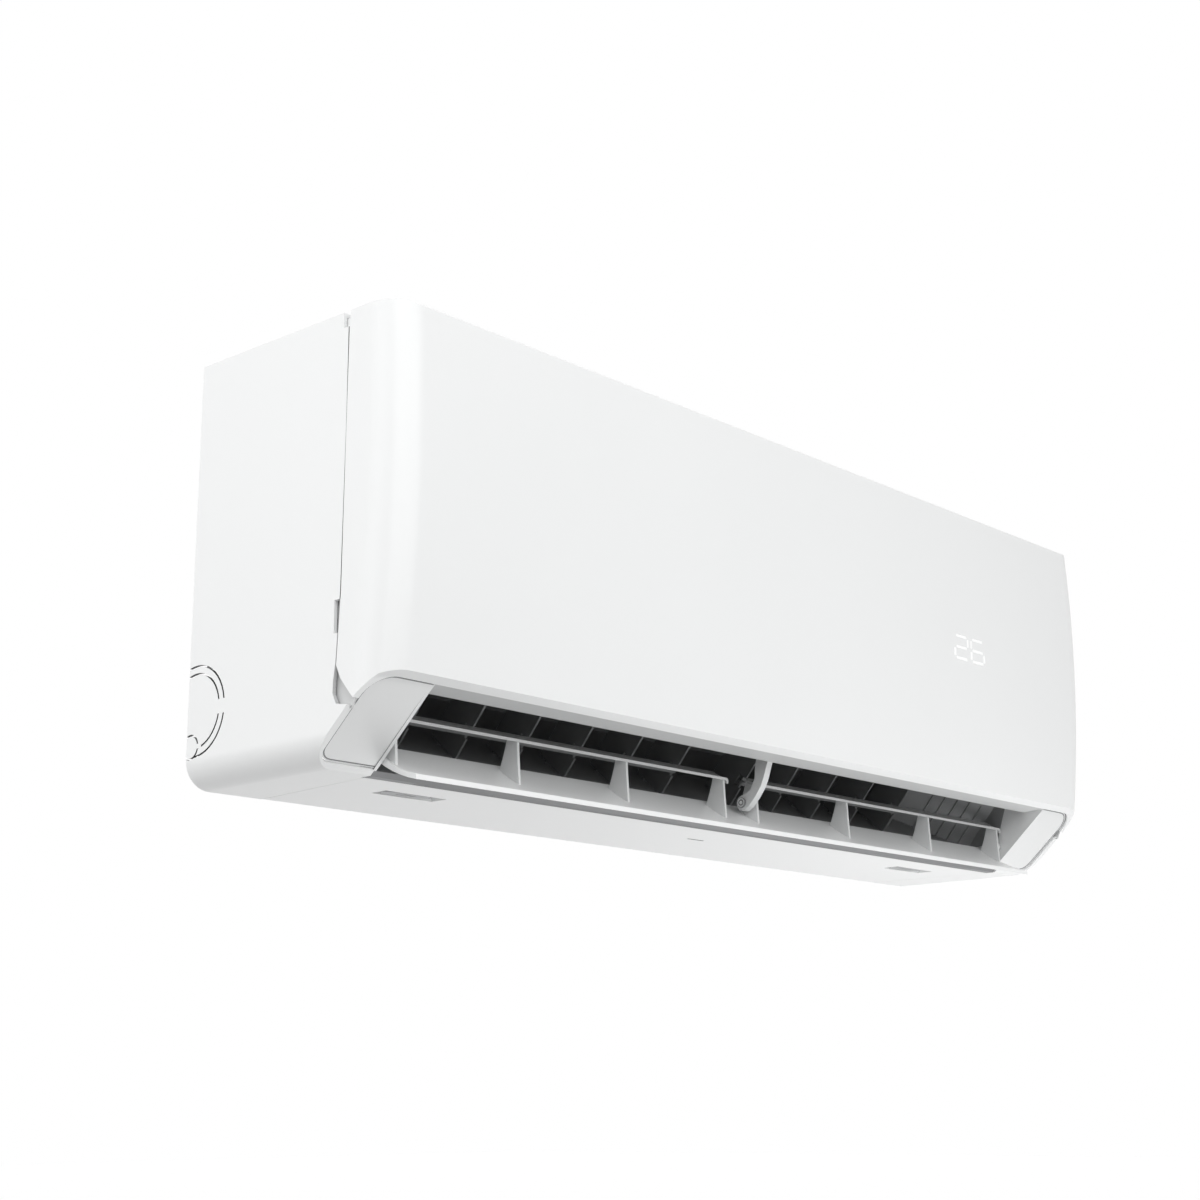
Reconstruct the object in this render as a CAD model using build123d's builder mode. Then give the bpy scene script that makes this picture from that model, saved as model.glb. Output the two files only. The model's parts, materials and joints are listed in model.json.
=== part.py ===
from build123d import *
import math
import os

# Wall-mounted indoor unit of a mini split air conditioner.
# Millimetres. Origin: centre of the wall plate's screw pattern on the wall plane.
# +X to the right seen from the room, -Y out of the wall into the room, +Z up.
# Side profiles are drawn as (y, h), where h is the height above the unit's underside.

os.makedirs("parts", exist_ok=True)

# ---------------------------------------------------------------- driving sizes
unit_width = 790.0
rear_height = 275.0
front_height = 272.0
underside_z = -150.0
seam_y = -144.0
shell_wall = 2.5
fit_gap = 0.4
seam_gap = 0.8
corner_radius = 24.0
side_bottom_radius = 18.0

half_width = unit_width / 2

# Front face: an arc through its top, its middle and its lower edge.
face_top_y = -184.6
face_top_drop = 2.0
face_mid_y = -186.5
face_mid_h = 165.0
face_low_y = -177.5
face_low_h = 50.0

# Outlet plane: slopes back and down from the upper lip.
lip_y = -168.5
lip_h = 48.4
outlet_slope = 41.0
outlet_length = 67.0
slope_sin = math.sin(math.radians(outlet_slope))
slope_cos = math.cos(math.radians(outlet_slope))
bezel_proud = 2.0
bezel_width = 5.5
end_panel_width = 46.5
end_panel_half = half_width - bezel_width
opening_half = end_panel_half - end_panel_width
end_panel_top_radius = 18.0
end_panel_low_radius = 10.0
bezel_gap = 0.5

# Duct floor: rises backwards from the lower lip, then curls up behind the fan.
floor_y = -113.0
floor_h = 4.0
floor_slope = 41.0
floor_run = 67.5
scroll_top_y = -36.0
scroll_top_h = 105.0
duct_wall = 2.5

# Cross-flow fan.
fan_y = -95.0
fan_h = 118.0
fan_radius = 46.0
fan_left = -half_width + 69.0
fan_right = half_width - 163.0
fan_blades = 30
fan_discs = 5
fan_disc_thickness = 3.0
shaft_radius = 4.0
shaft_clearance = 0.05

# Louver.
pivot_y = -122.0
pivot_h = 20.7
louver_gap = 2.0
louver_half = opening_half - louver_gap
pivot_pin_radius = 2.0
pin_clearance = 0.05

# Bottom cover.
cover_front_y = -108.0
cover_rear_half = half_width - 59.0
cover_front_half = half_width - 51.0

# Air vanes.
vane_left_count = 6
vane_left_start = fan_left + 21.0
vane_left_end = -55.0
vane_right_count = 5
vane_right_start = 22.0
vane_right_end = fan_right - 14.0
vane_left_pitch = (vane_left_end - vane_left_start) / (vane_left_count - 1)
vane_right_pitch = (vane_right_end - vane_right_start) / (vane_right_count - 1)
vane_thickness = 1.6
vane_pivot_run = 50.0
vane_pin_radius = 1.5
vane_link_run = 31.5
vane_link_rise = 21.0
vane_link_pin_radius = 1.2
vane_link_clearance = 0.08

# Panel hinge.
hinge_y = -143.5
hinge_h = front_height - 5.0
hinge_tab_x = half_width - 12.0
hinge_pin_radius = 1.5
hinge_arm_x = hinge_tab_x - 7.0
hinge_arm_thickness = 4.0
hinge_arm_radius = 2.8
hinge_pin_end = hinge_tab_x + 3.5

# Wall plate.
screw_spacing_x = 360.0
screw_spacing_z = 100.0
screw_hole_radius = 3.0
plate_thickness = 1.2
plate_width = 460.0
plate_height = 150.0


def side_plane(x=0.0):
    """Plane square to X at x, with (y, h) as its own coordinates."""
    return Plane(origin=(x, 0, underside_z), x_dir=(0, 1, 0), z_dir=(1, 0, 0))


def level(h):
    """Horizontal plane at height h above the underside."""
    return Plane.XY.offset(underside_z + h)


def duct_plane(x=0.0):
    """Plane square to X at x, its own coordinates being the run and rise from the duct floor."""
    slope = math.radians(floor_slope)
    return Plane(
        origin=(x, floor_y, underside_z + floor_h),
        x_dir=(0, math.cos(slope), math.sin(slope)),
        z_dir=(1, 0, 0),
    )


def duct_floor_plane(rise=0.0):
    """Plane in the duct floor, lifted by rise: own x is X of the unit, own y is the run."""
    slope = math.radians(floor_slope)
    normal = Vector(0, -math.sin(slope), math.cos(slope))
    origin = Vector(0, floor_y, underside_z + floor_h) + normal * rise
    return Plane(origin=origin, x_dir=(1, 0, 0), z_dir=normal)


def outlet_plane(depth=0.0):
    """Outlet plane moved inwards by depth: own x is X, own y climbs towards the lip."""
    slope = math.radians(outlet_slope)
    outward = Vector(0, -math.sin(slope), -math.cos(slope))
    origin = Vector(0, lip_y, underside_z + lip_h) - outward * depth
    return Plane(origin=origin, x_dir=(1, 0, 0), z_dir=outward)


def outlet_point(run, depth=0.0):
    """(y, h) of a point run mm down the outlet plane and depth mm inside it."""
    slope = math.radians(outlet_slope)
    y = lip_y + run * math.cos(slope) + depth * math.sin(slope)
    h = lip_h - run * math.sin(slope) + depth * math.cos(slope)
    return (y, h)


def duct_point(run, rise):
    """(y, h) of a point given by its run along the duct floor and its rise above it."""
    slope = math.radians(floor_slope)
    y = floor_y + run * math.cos(slope) - rise * math.sin(slope)
    h = floor_h + run * math.sin(slope) + rise * math.cos(slope)
    return (y, h)


def outline(*points):
    """Closed straight-sided face in the current sketch."""
    with BuildLine() as edge_line:
        Polyline(*points, close=True)
    make_face(edge_line.edges())


def bar_between(x0, x1, y0, y1, h0, h1):
    """Rectangular block of the current part between two corners, h above the underside."""
    with BuildSketch(level(h0)) as base:
        with Locations(((x0 + x1) / 2, (y0 + y1) / 2)):
            Rectangle(abs(x1 - x0), abs(y1 - y0))
    extrude(base.sketch, amount=h1 - h0)


def prism(x0, x1, *points, mode=Mode.ADD):
    """Straight-sided (y, h) profile carried along X in the current part."""
    with BuildSketch(side_plane(x0)) as profile:
        outline(*points)
    extrude(profile.sketch, amount=x1 - x0, mode=mode)


def rod(x0, x1, y, h, radius, mode=Mode.ADD):
    """Round bar along X in the current part."""
    with BuildSketch(side_plane(x0)) as section:
        with Locations((y, h)):
            Circle(radius)
    extrude(section.sketch, amount=x1 - x0, mode=mode)


def slab_corners(start, end, half, extra=0.0):
    """Corners of a rectangle whose centre line runs from start to end in (y, h)."""
    run = math.hypot(end[0] - start[0], end[1] - start[1])
    along = ((end[0] - start[0]) / run, (end[1] - start[1]) / run)
    side = (-along[1] * half, along[0] * half)
    low = (start[0] - along[0] * extra, start[1] - along[1] * extra)
    high = (end[0] + along[0] * extra, end[1] + along[1] * extra)
    return (
        (low[0] + side[0], low[1] + side[1]),
        (high[0] + side[0], high[1] + side[1]),
        (high[0] - side[0], high[1] - side[1]),
        (low[0] - side[0], low[1] - side[1]),
    )


# ---------------------------------------------------------------- light bars of the display
# Two seven-segment digits set flush in the panel's face, lit as 2 and 6.
digit_bar_width = 2.0
digit_height = 18.0
digit_span = 18.5
digit_pitch = 23.5
digit_first_x = half_width - 195.0
digit_mid_h = 158.5
digit_floor_y = face_mid_y + 0.5
digit_thickness = 0.4
digit_gap = 0.1
# (digit, row) of the level bars and (digit, column, row) of the upright bars that are lit
level_bars = ((0, 1), (0, 0), (0, -1), (1, 1), (1, 0), (1, -1))
upright_bars = ((0, 1, 1), (0, -1, -1), (1, -1, 1), (1, -1, -1), (1, 1, -1))


def digit_bars(grow):
    """Lit bars in the current sketch, each side of a bar moved out by grow."""
    middle = underside_z + digit_mid_h
    for digit, row in level_bars:
        with Locations((digit_first_x + digit * digit_pitch, middle + row * digit_height / 2)):
            Rectangle(digit_span - 4.0 + 2 * grow, digit_bar_width + 2 * grow)
    for digit, column, row in upright_bars:
        bar_x = digit_first_x + digit * digit_pitch + column * digit_span / 2
        with Locations((bar_x, middle + row * digit_height / 4)):
            Rectangle(digit_bar_width + 2 * grow, digit_height / 2 - 3.0 + 2 * grow)


with BuildPart() as display_digits:
    with BuildSketch(Plane.XZ.offset(-digit_floor_y)) as lit_bars:
        digit_bars(0.0)
    extrude(lit_bars.sketch, amount=digit_thickness)
display_digits.part.label = "display_digits"
export_step(display_digits.part, "parts/display_digits.step")

# ---------------------------------------------------------------- cutter for the outlet
# Rounded window that the bezels of the casing and of the front panel leave for the outlet frame.
window_half = end_panel_half + bezel_gap
window_top = bezel_gap
window_low = -(outlet_length + bezel_gap)
window_radius = end_panel_top_radius + bezel_gap
with BuildPart() as outlet_window:
    with BuildSketch(outlet_plane(-20)) as window_sketch:
        with Locations((0, (window_top + window_low) / 2)):
            Rectangle(2 * window_half, window_top - window_low)
        fillet(window_sketch.vertices().group_by(Axis.Y)[-1], window_radius)
        fillet(window_sketch.vertices().group_by(Axis.Y)[0], end_panel_low_radius + bezel_gap)
    extrude(amount=-60)

# ---------------------------------------------------------------- front panel
# Bowed front shell with cheeks round both ends and a rolled rim over the outlet.
panel_rear_top_y = -145.7
cheek_tip = outlet_point(19.0, -bezel_proud)
rim_rear = outlet_point(0.0, -bezel_proud)
face_top_h = front_height - face_top_drop


def panel_profile(inset, rear_extra):
    """Side profile of the panel, drawn in by inset; rear_extra carries it back past the seam."""
    rear = rear_extra
    with BuildLine() as side_line:
        Polyline(
            (face_top_y + inset, face_top_h - inset),
            (face_top_y + 2.0 + inset, front_height - inset),
            (panel_rear_top_y + rear, front_height - inset),
            (seam_y - seam_gap + rear, hinge_h - 5.0),
            (-143.3 + rear, 99.0),
            (-140.8 + rear, 55.0),
            (-144.6 + rear, 47.0),
            (cheek_tip[0] - inset * 0.2, cheek_tip[1] + inset * 1.3),
            (rim_rear[0] - inset * 0.5, rim_rear[1] + inset * 1.2),
            (face_low_y + inset, face_low_h + inset),
        )
        ThreePointArc(
            (face_low_y + inset, face_low_h + inset),
            (face_mid_y + inset, face_mid_h),
            (face_top_y + inset, face_top_h - inset),
        )
    make_face(side_line.edges())


with BuildPart() as panel_core:
    with BuildSketch(side_plane(-half_width + shell_wall)):
        panel_profile(shell_wall, 30.0)
    extrude(amount=unit_width - 2 * shell_wall)
    core_front = panel_core.edges().filter_by(Axis.X, reverse=True).filter_by(GeomType.CIRCLE)
    fillet(core_front, corner_radius - shell_wall)

with BuildPart() as front_panel:
    with BuildSketch(side_plane(-half_width)):
        panel_profile(0.0, 0.0)
    extrude(amount=unit_width)
    panel_front = front_panel.edges().filter_by(GeomType.CIRCLE)
    fillet(panel_front, corner_radius)
    add(panel_core.part, mode=Mode.SUBTRACT)
    add(outlet_window.part, mode=Mode.SUBTRACT)
    # hinge arms under the top wall, each with a pin that turns in the casing's tab
    for side in (-1, 1):
        with BuildSketch(side_plane(side * hinge_arm_x)) as hinge_arm:
            outline(
                (-158.0, front_height - shell_wall + 1.0),
                (-146.5, front_height - shell_wall + 1.0),
                (hinge_y, hinge_h + hinge_arm_radius),
                (hinge_y, hinge_h - hinge_arm_radius),
                (-150.0, hinge_h - hinge_arm_radius),
            )
            with Locations((hinge_y, hinge_h)):
                Circle(hinge_arm_radius)
        extrude(hinge_arm.sketch, amount=side * hinge_arm_thickness)
        rod(side * hinge_arm_x, side * hinge_pin_end, hinge_y, hinge_h, hinge_pin_radius)
    # recesses for the light bars of the display
    with BuildSketch(Plane.XZ.offset(-digit_floor_y)) as bar_recesses:
        digit_bars(digit_gap)
    extrude(bar_recesses.sketch, amount=4.0, mode=Mode.SUBTRACT)
front_panel.part.label = "front_panel"
export_step(front_panel.part, "parts/front_panel.step")

# ---------------------------------------------------------------- outer casing
# White shell: two sides, the top, the lower bezels and the bottom side strips.
top_seam_y = -139.5
notch_h = front_height - 10.0
casing_tip = outlet_point(24.5, -bezel_proud)
bottom_run = (lip_h - bezel_proud * slope_cos) / slope_sin
casing_low_front = outlet_point(bottom_run, -bezel_proud)
grille_half = half_width - 43.0
grille_rear_y = -22.0
grille_front_y = -128.0
top_fall = (rear_height - front_height) / -seam_y
knockout_h = 47.0
knockout_radius = 29.0
knockout_inner_radius = 24.0
knockout_slot = 1.2
small_knockout_h = 25.0
small_knockout_radius = 8.0
finger_notch_h = 84.0
finger_notch_height = 20.0
finger_notch_depth = 4.5

with BuildPart() as casing_core:
    with BuildSketch(side_plane(-half_width + shell_wall)):
        inner_depth = shell_wall - bezel_proud
        inner_run = (lip_h + inner_depth * slope_cos - shell_wall) / slope_sin
        outline(
            (10.0, shell_wall),
            (10.0, rear_height - shell_wall),
            (-200.0, front_height - shell_wall - top_fall * 56.0),
            (-200.0, 85.0),
            outlet_point(-12.0, inner_depth),
            outlet_point(inner_run, inner_depth),
        )
    extrude(amount=unit_width - 2 * shell_wall)
    low_edges = casing_core.edges().filter_by(Axis.Y).group_by(Axis.Z)[0]
    fillet(low_edges, side_bottom_radius - shell_wall)

with BuildPart() as outer_casing:
    with BuildSketch(side_plane(-half_width)):
        outline(
            (0.0, 0.0),
            (0.0, rear_height),
            (seam_y, front_height),
            (seam_y, 200.0),
            (-142.6, 99.0),
            (-140.0, 56.0),
            (-138.4, 46.0),
            (-138.2, 39.0),
            (-141.5, 32.5),
            casing_tip,
            casing_low_front,
        )
    extrude(amount=unit_width)
    bottom_edges = outer_casing.edges().filter_by(Axis.Y).group_by(Axis.Z)[0]
    fillet(bottom_edges, side_bottom_radius)
    add(casing_core.part, mode=Mode.SUBTRACT)
    add(outlet_window.part, mode=Mode.SUBTRACT)
    # opening of the bottom cover, and the lower lip between the end panels
    with BuildSketch(level(-5)):
        outline(
            (-cover_rear_half - fit_gap, 1.0),
            (cover_rear_half + fit_gap, 1.0),
            (cover_front_half + fit_gap, cover_front_y - fit_gap),
            (-cover_front_half - fit_gap, cover_front_y - fit_gap),
        )
    extrude(amount=12.0, mode=Mode.SUBTRACT)
    with BuildSketch(level(-5)):
        with Locations((0, cover_front_y - 10.0)):
            Rectangle(2 * (opening_half + shell_wall + fit_gap), 22.0)
    extrude(amount=14.0, mode=Mode.SUBTRACT)
    # opening of the intake grille
    with BuildSketch(level(min(front_height, rear_height) - 12.0)):
        with Locations((0, (grille_rear_y + grille_front_y) / 2)):
            Rectangle(2 * grille_half, grille_rear_y - grille_front_y)
    extrude(amount=abs(rear_height - front_height) + 24.0, mode=Mode.SUBTRACT)
    # top front edge and corner notches that let the panel swing
    with BuildSketch(level(notch_h)):
        with Locations((0, top_seam_y - 10.0)):
            Rectangle(unit_width + 2.0, 20.0)
    extrude(amount=20.0, mode=Mode.SUBTRACT)
    # finger notches at the seam
    with BuildSketch(side_plane(-half_width - 1)):
        with Locations((seam_y + finger_notch_depth / 2 + 0.8, finger_notch_h)):
            Rectangle(finger_notch_depth + 2.0, finger_notch_height)
    extrude(amount=unit_width + 2.0, mode=Mode.SUBTRACT)
    # pipe knock-outs: slots that leave a bridge
    for side in (-1, 1):
        with BuildSketch(side_plane(side * (half_width - shell_wall / 2))):
            with Locations((-8.0, knockout_h)):
                Circle(knockout_radius)
                Circle(knockout_radius - knockout_slot, mode=Mode.SUBTRACT)
                Circle(knockout_inner_radius)
                Circle(knockout_inner_radius - knockout_slot, mode=Mode.SUBTRACT)
            with Locations((-8.0 - knockout_radius, knockout_h)):
                Rectangle(16.0, 9.0, mode=Mode.SUBTRACT)
            with Locations((-4.0, small_knockout_h)):
                Circle(small_knockout_radius)
                Circle(small_knockout_radius - knockout_slot, mode=Mode.SUBTRACT)
            with Locations((-4.0 - small_knockout_radius, small_knockout_h)):
                Rectangle(6.0, 3.0, mode=Mode.SUBTRACT)
        extrude(amount=shell_wall, both=True, mode=Mode.SUBTRACT)
    # hinge tabs under the top wall
    for side in (-1, 1):
        with BuildSketch(side_plane(side * hinge_tab_x)):
            outline(
                (-146.5, hinge_h - 2.4),
                (-146.5, front_height - shell_wall - 0.4),
                (top_seam_y, front_height - shell_wall - 0.4),
                (top_seam_y, front_height - 1.0),
                (-130.5, front_height - 1.0),
                (-130.5, hinge_h - 1.0),
                (-140.0, hinge_h - 4.5),
            )
            with Locations((hinge_y, hinge_h)):
                Circle(hinge_pin_radius + pin_clearance, mode=Mode.SUBTRACT)
        extrude(amount=2.0, both=True)
outer_casing.part.label = "outer_casing"
export_step(outer_casing.part, "parts/outer_casing.step")

# ---------------------------------------------------------------- top intake grille
grille_rows = 9
grille_columns = 5
grille_thickness = 2.2
grille_slot_width = 7.0
with BuildPart() as top_grille:
    grille_rear = grille_rear_y - fit_gap
    grille_front = grille_front_y + fit_gap
    rear_top = rear_height + grille_rear * top_fall
    front_top = rear_height + grille_front * top_fall
    with BuildSketch(side_plane(-grille_half + fit_gap)):
        outline(
            (grille_rear, rear_top),
            (grille_front, front_top),
            (grille_front, front_top - grille_thickness),
            (grille_rear, rear_top - grille_thickness),
        )
    extrude(amount=2 * (grille_half - fit_gap))
    column_pitch = 2 * (grille_half - 4.0) / grille_columns
    row_pitch = (grille_rear - grille_front - 6.0) / grille_rows
    with BuildSketch(level(min(front_height, rear_height) - 12.0)):
        with Locations((0, (grille_rear + grille_front) / 2)):
            with GridLocations(column_pitch, row_pitch, grille_columns, grille_rows):
                Rectangle(column_pitch - 6.0, grille_slot_width)
    extrude(amount=abs(rear_height - front_height) + 24.0, mode=Mode.SUBTRACT)
top_grille.part.label = "top_grille"
export_step(top_grille.part, "parts/top_grille.step")

# ---------------------------------------------------------------- bottom cover and its latches
latch_x = half_width - 117.0
latch_y = -74.5
latch_length = 44.0
latch_depth = 13.0
latch_travel = 6.0
pocket_depth = 3.2
pocket_roof = 1.5
with BuildPart() as bottom_cover:
    with BuildSketch(level(0)):
        outline(
            (-cover_rear_half, -1.0),
            (cover_rear_half, -1.0),
            (cover_front_half, cover_front_y),
            (-cover_front_half, cover_front_y),
        )
    extrude(amount=shell_wall)
    for side in (-1, 1):
        with BuildSketch(level(0)):
            with Locations((side * latch_x, latch_y)):
                Rectangle(latch_length + latch_travel + 6.0, latch_depth + 5.0)
        extrude(amount=pocket_depth + pocket_roof)
        with BuildSketch(level(0)):
            with Locations((side * latch_x, latch_y)):
                Rectangle(latch_length + latch_travel + 1.0, latch_depth + 1.0)
        extrude(amount=pocket_depth, mode=Mode.SUBTRACT)
        with BuildSketch(level(0)):
            with Locations((side * latch_x, latch_y)):
                Rectangle(4.0 + latch_travel + 1.0, 5.0)
        extrude(amount=10.0, mode=Mode.SUBTRACT)
    # small centre mark and stiffening ribs inside
    with BuildSketch(level(0)):
        with Locations((8.0, -70.0)):
            Rectangle(18.0, 2.0)
    extrude(amount=0.8, mode=Mode.SUBTRACT)
    for rib_x in (-200.0, -100.0, 0.0, 100.0, 200.0):
        bar_between(rib_x - 0.8, rib_x + 0.8, -100.0, -10.0, shell_wall, shell_wall + 3.0)
bottom_cover.part.label = "bottom_cover"
export_step(bottom_cover.part, "parts/bottom_cover.step")

for side, latch_name in ((-1, "latch_left"), (1, "latch_right")):
    with BuildPart() as latch:
        latch_mid = side * latch_x - latch_travel / 2
        with BuildSketch(level(0.3)):
            outline(
                (latch_mid - latch_length / 2, latch_y - 1.0),
                (latch_mid - latch_length / 2 + 8.0, latch_y + latch_depth / 2),
                (latch_mid + 6.0, latch_y + latch_depth / 2),
                (latch_mid + latch_length / 2, latch_y + 1.0),
                (latch_mid + latch_length / 2 - 8.0, latch_y - latch_depth / 2),
                (latch_mid - 6.0, latch_y - latch_depth / 2),
            )
        extrude(amount=pocket_depth - 0.6)
        with BuildSketch(level(0.3)):
            with Locations((latch_mid, latch_y)):
                Rectangle(4.0, 4.4)
        extrude(amount=pocket_depth + pocket_roof)
        with BuildSketch(level(pocket_depth + pocket_roof + 0.3)):
            with Locations((latch_mid, latch_y)):
                Rectangle(8.0, 10.0)
        extrude(amount=1.2)
        with BuildSketch(level(0.3)):
            with GridLocations(4.0, 1.0, 4, 1):
                with Locations((latch_mid, latch_y)):
                    Rectangle(1.2, 6.0)
        extrude(amount=0.8, mode=Mode.SUBTRACT)
    latch.part.label = latch_name
    export_step(latch.part, "parts/" + latch_name + ".step")

# ---------------------------------------------------------------- outlet frame
# Grey inner frame: end panels, upper lip and ceiling, lower lip and duct floor, side walls.
floor_end = duct_point(floor_run, 0.0)
floor_end_under = duct_point(floor_run, -duct_wall)
floor_under = duct_point(0.0, -duct_wall)
lip_rear_y = cover_front_y - fit_gap
lip_tip = (-117.5, 3.0)
ceiling_low = (-149.0, 46.8)
ceiling_high = (-135.0, 86.0)
tongue_tip = (-133.0, 92.0)
side_wall_x = opening_half
bush_radius = 5.0
bush_pin_radius = 3.0
left_wall_inner = 334.0
right_wall_inner = 238.0
left_turn_run = 27.0
left_end_run = 40.0
right_turn_run = 27.0
right_end_run = 75.0
lip_groove_half = opening_half - 36.0
lip_groove_width = 0.8
lip_groove_depth = 0.6
wall_rib_count = 5

with BuildPart() as duct_walls:
    with BuildSketch(duct_floor_plane(0.1)):
        outline(
            (-side_wall_x, -16.0),
            (-side_wall_x, left_turn_run),
            (-left_wall_inner, left_end_run),
            (-left_wall_inner - duct_wall, left_end_run),
            (-side_wall_x - duct_wall, left_turn_run),
            (-side_wall_x - duct_wall, -16.0),
        )
        outline(
            (side_wall_x, -16.0),
            (side_wall_x, right_turn_run),
            (right_wall_inner + 15.0, right_end_run - 12.0),
            (right_wall_inner + 15.0 + duct_wall, right_end_run - 12.0),
            (side_wall_x + duct_wall, right_turn_run),
            (side_wall_x + duct_wall, -16.0),
        )
    extrude(amount=80.0)
    with BuildSketch(side_plane(-side_wall_x - 10.0)) as duct_region:
        outline(
            lip_tip,
            duct_point(0.0, -0.2),
            duct_point(right_end_run, -0.2),
            duct_point(right_end_run, 12.0),
            duct_point(58.0, 32.0),
            duct_point(42.0, 50.0),
            ceiling_high,
            ceiling_low,
            (lip_y + 0.8, lip_h - 0.6),
        )
    extrude(duct_region.sketch, amount=2 * side_wall_x + 20.0, mode=Mode.INTERSECT)

with BuildPart() as outlet_frame:
    prism(
        -side_wall_x - duct_wall,
        side_wall_x + duct_wall,
        lip_tip,
        (floor_y, floor_h),
        floor_end,
        floor_end_under,
        (lip_rear_y, floor_under[1] + (lip_rear_y - floor_under[0]) * slope_sin / slope_cos),
        (lip_rear_y, 0.0),
        (lip_tip[0] + 2.9, 0.0),
    )
    prism(
        -side_wall_x - duct_wall,
        side_wall_x + duct_wall,
        (lip_y + 0.4, lip_h - 0.8),
        ceiling_low,
        ceiling_high,
        tongue_tip,
        (tongue_tip[0] - 2.3, tongue_tip[1] + 0.8),
        (ceiling_high[0] - 2.4, ceiling_high[1] + 0.8),
        (ceiling_low[0] - 2.0, ceiling_low[1] + 2.5),
        (lip_y + 2.0, lip_h + 1.7),
        (lip_y, lip_h),
    )
    add(duct_walls.part)
    with BuildSketch(outlet_plane(0)) as end_panels:
        with Locations((0, -outlet_length / 2)):
            Rectangle(2 * end_panel_half, outlet_length)
        fillet(end_panels.vertices().group_by(Axis.Y)[-1], end_panel_top_radius)
        fillet(end_panels.vertices().group_by(Axis.Y)[0], end_panel_low_radius)
        with Locations((0, -outlet_length / 2)):
            Rectangle(2 * side_wall_x, outlet_length + 2.0, mode=Mode.SUBTRACT)
    extrude(amount=-duct_wall)
    # two fine grooves along the underside of the lower lip
    for groove_y in (lip_rear_y - 1.6, lip_rear_y - 4.2):
        prism(
            -lip_groove_half,
            lip_groove_half,
            (groove_y, -0.5),
            (groove_y, lip_groove_depth),
            (groove_y - lip_groove_width, lip_groove_depth),
            (groove_y - lip_groove_width, -0.5),
            mode=Mode.SUBTRACT,
        )
    # thin ribs up the slanted right wall
    for index in range(wall_rib_count):
        share = (index + 1) / (wall_rib_count + 3)
        rib_x = side_wall_x + (right_wall_inner + 15.0 - side_wall_x) * share
        rib_run = right_turn_run + (right_end_run - 12.0 - right_turn_run) * share
        with BuildSketch(duct_floor_plane(0.0)) as wall_rib:
            with Locations((rib_x, rib_run)):
                Rectangle(1.2, 1.6)
        extrude(wall_rib.sketch, amount=40.0)
    # bores for the louver's end pins
    rod(-side_wall_x - 6.0, -side_wall_x + 1.0, pivot_y, pivot_h, bush_radius + 0.05, Mode.SUBTRACT)
    rod(side_wall_x - 1.0, side_wall_x + 6.0, pivot_y, pivot_h, bush_pin_radius + 0.4, Mode.SUBTRACT)
    # holes for the vane pins
    with BuildSketch(duct_floor_plane(-duct_wall - 1.0)):
        for index in range(vane_left_count):
            with Locations((vane_left_start + index * vane_left_pitch, vane_pivot_run)):
                Circle(vane_pin_radius + vane_link_clearance)
        for index in range(vane_right_count):
            with Locations((vane_right_start + index * vane_right_pitch, vane_pivot_run)):
                Circle(vane_pin_radius + vane_link_clearance)
    extrude(amount=duct_wall + 2.0, mode=Mode.SUBTRACT)
outlet_frame.part.label = "outlet_frame"
export_step(outlet_frame.part, "parts/outlet_frame.step")

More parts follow.
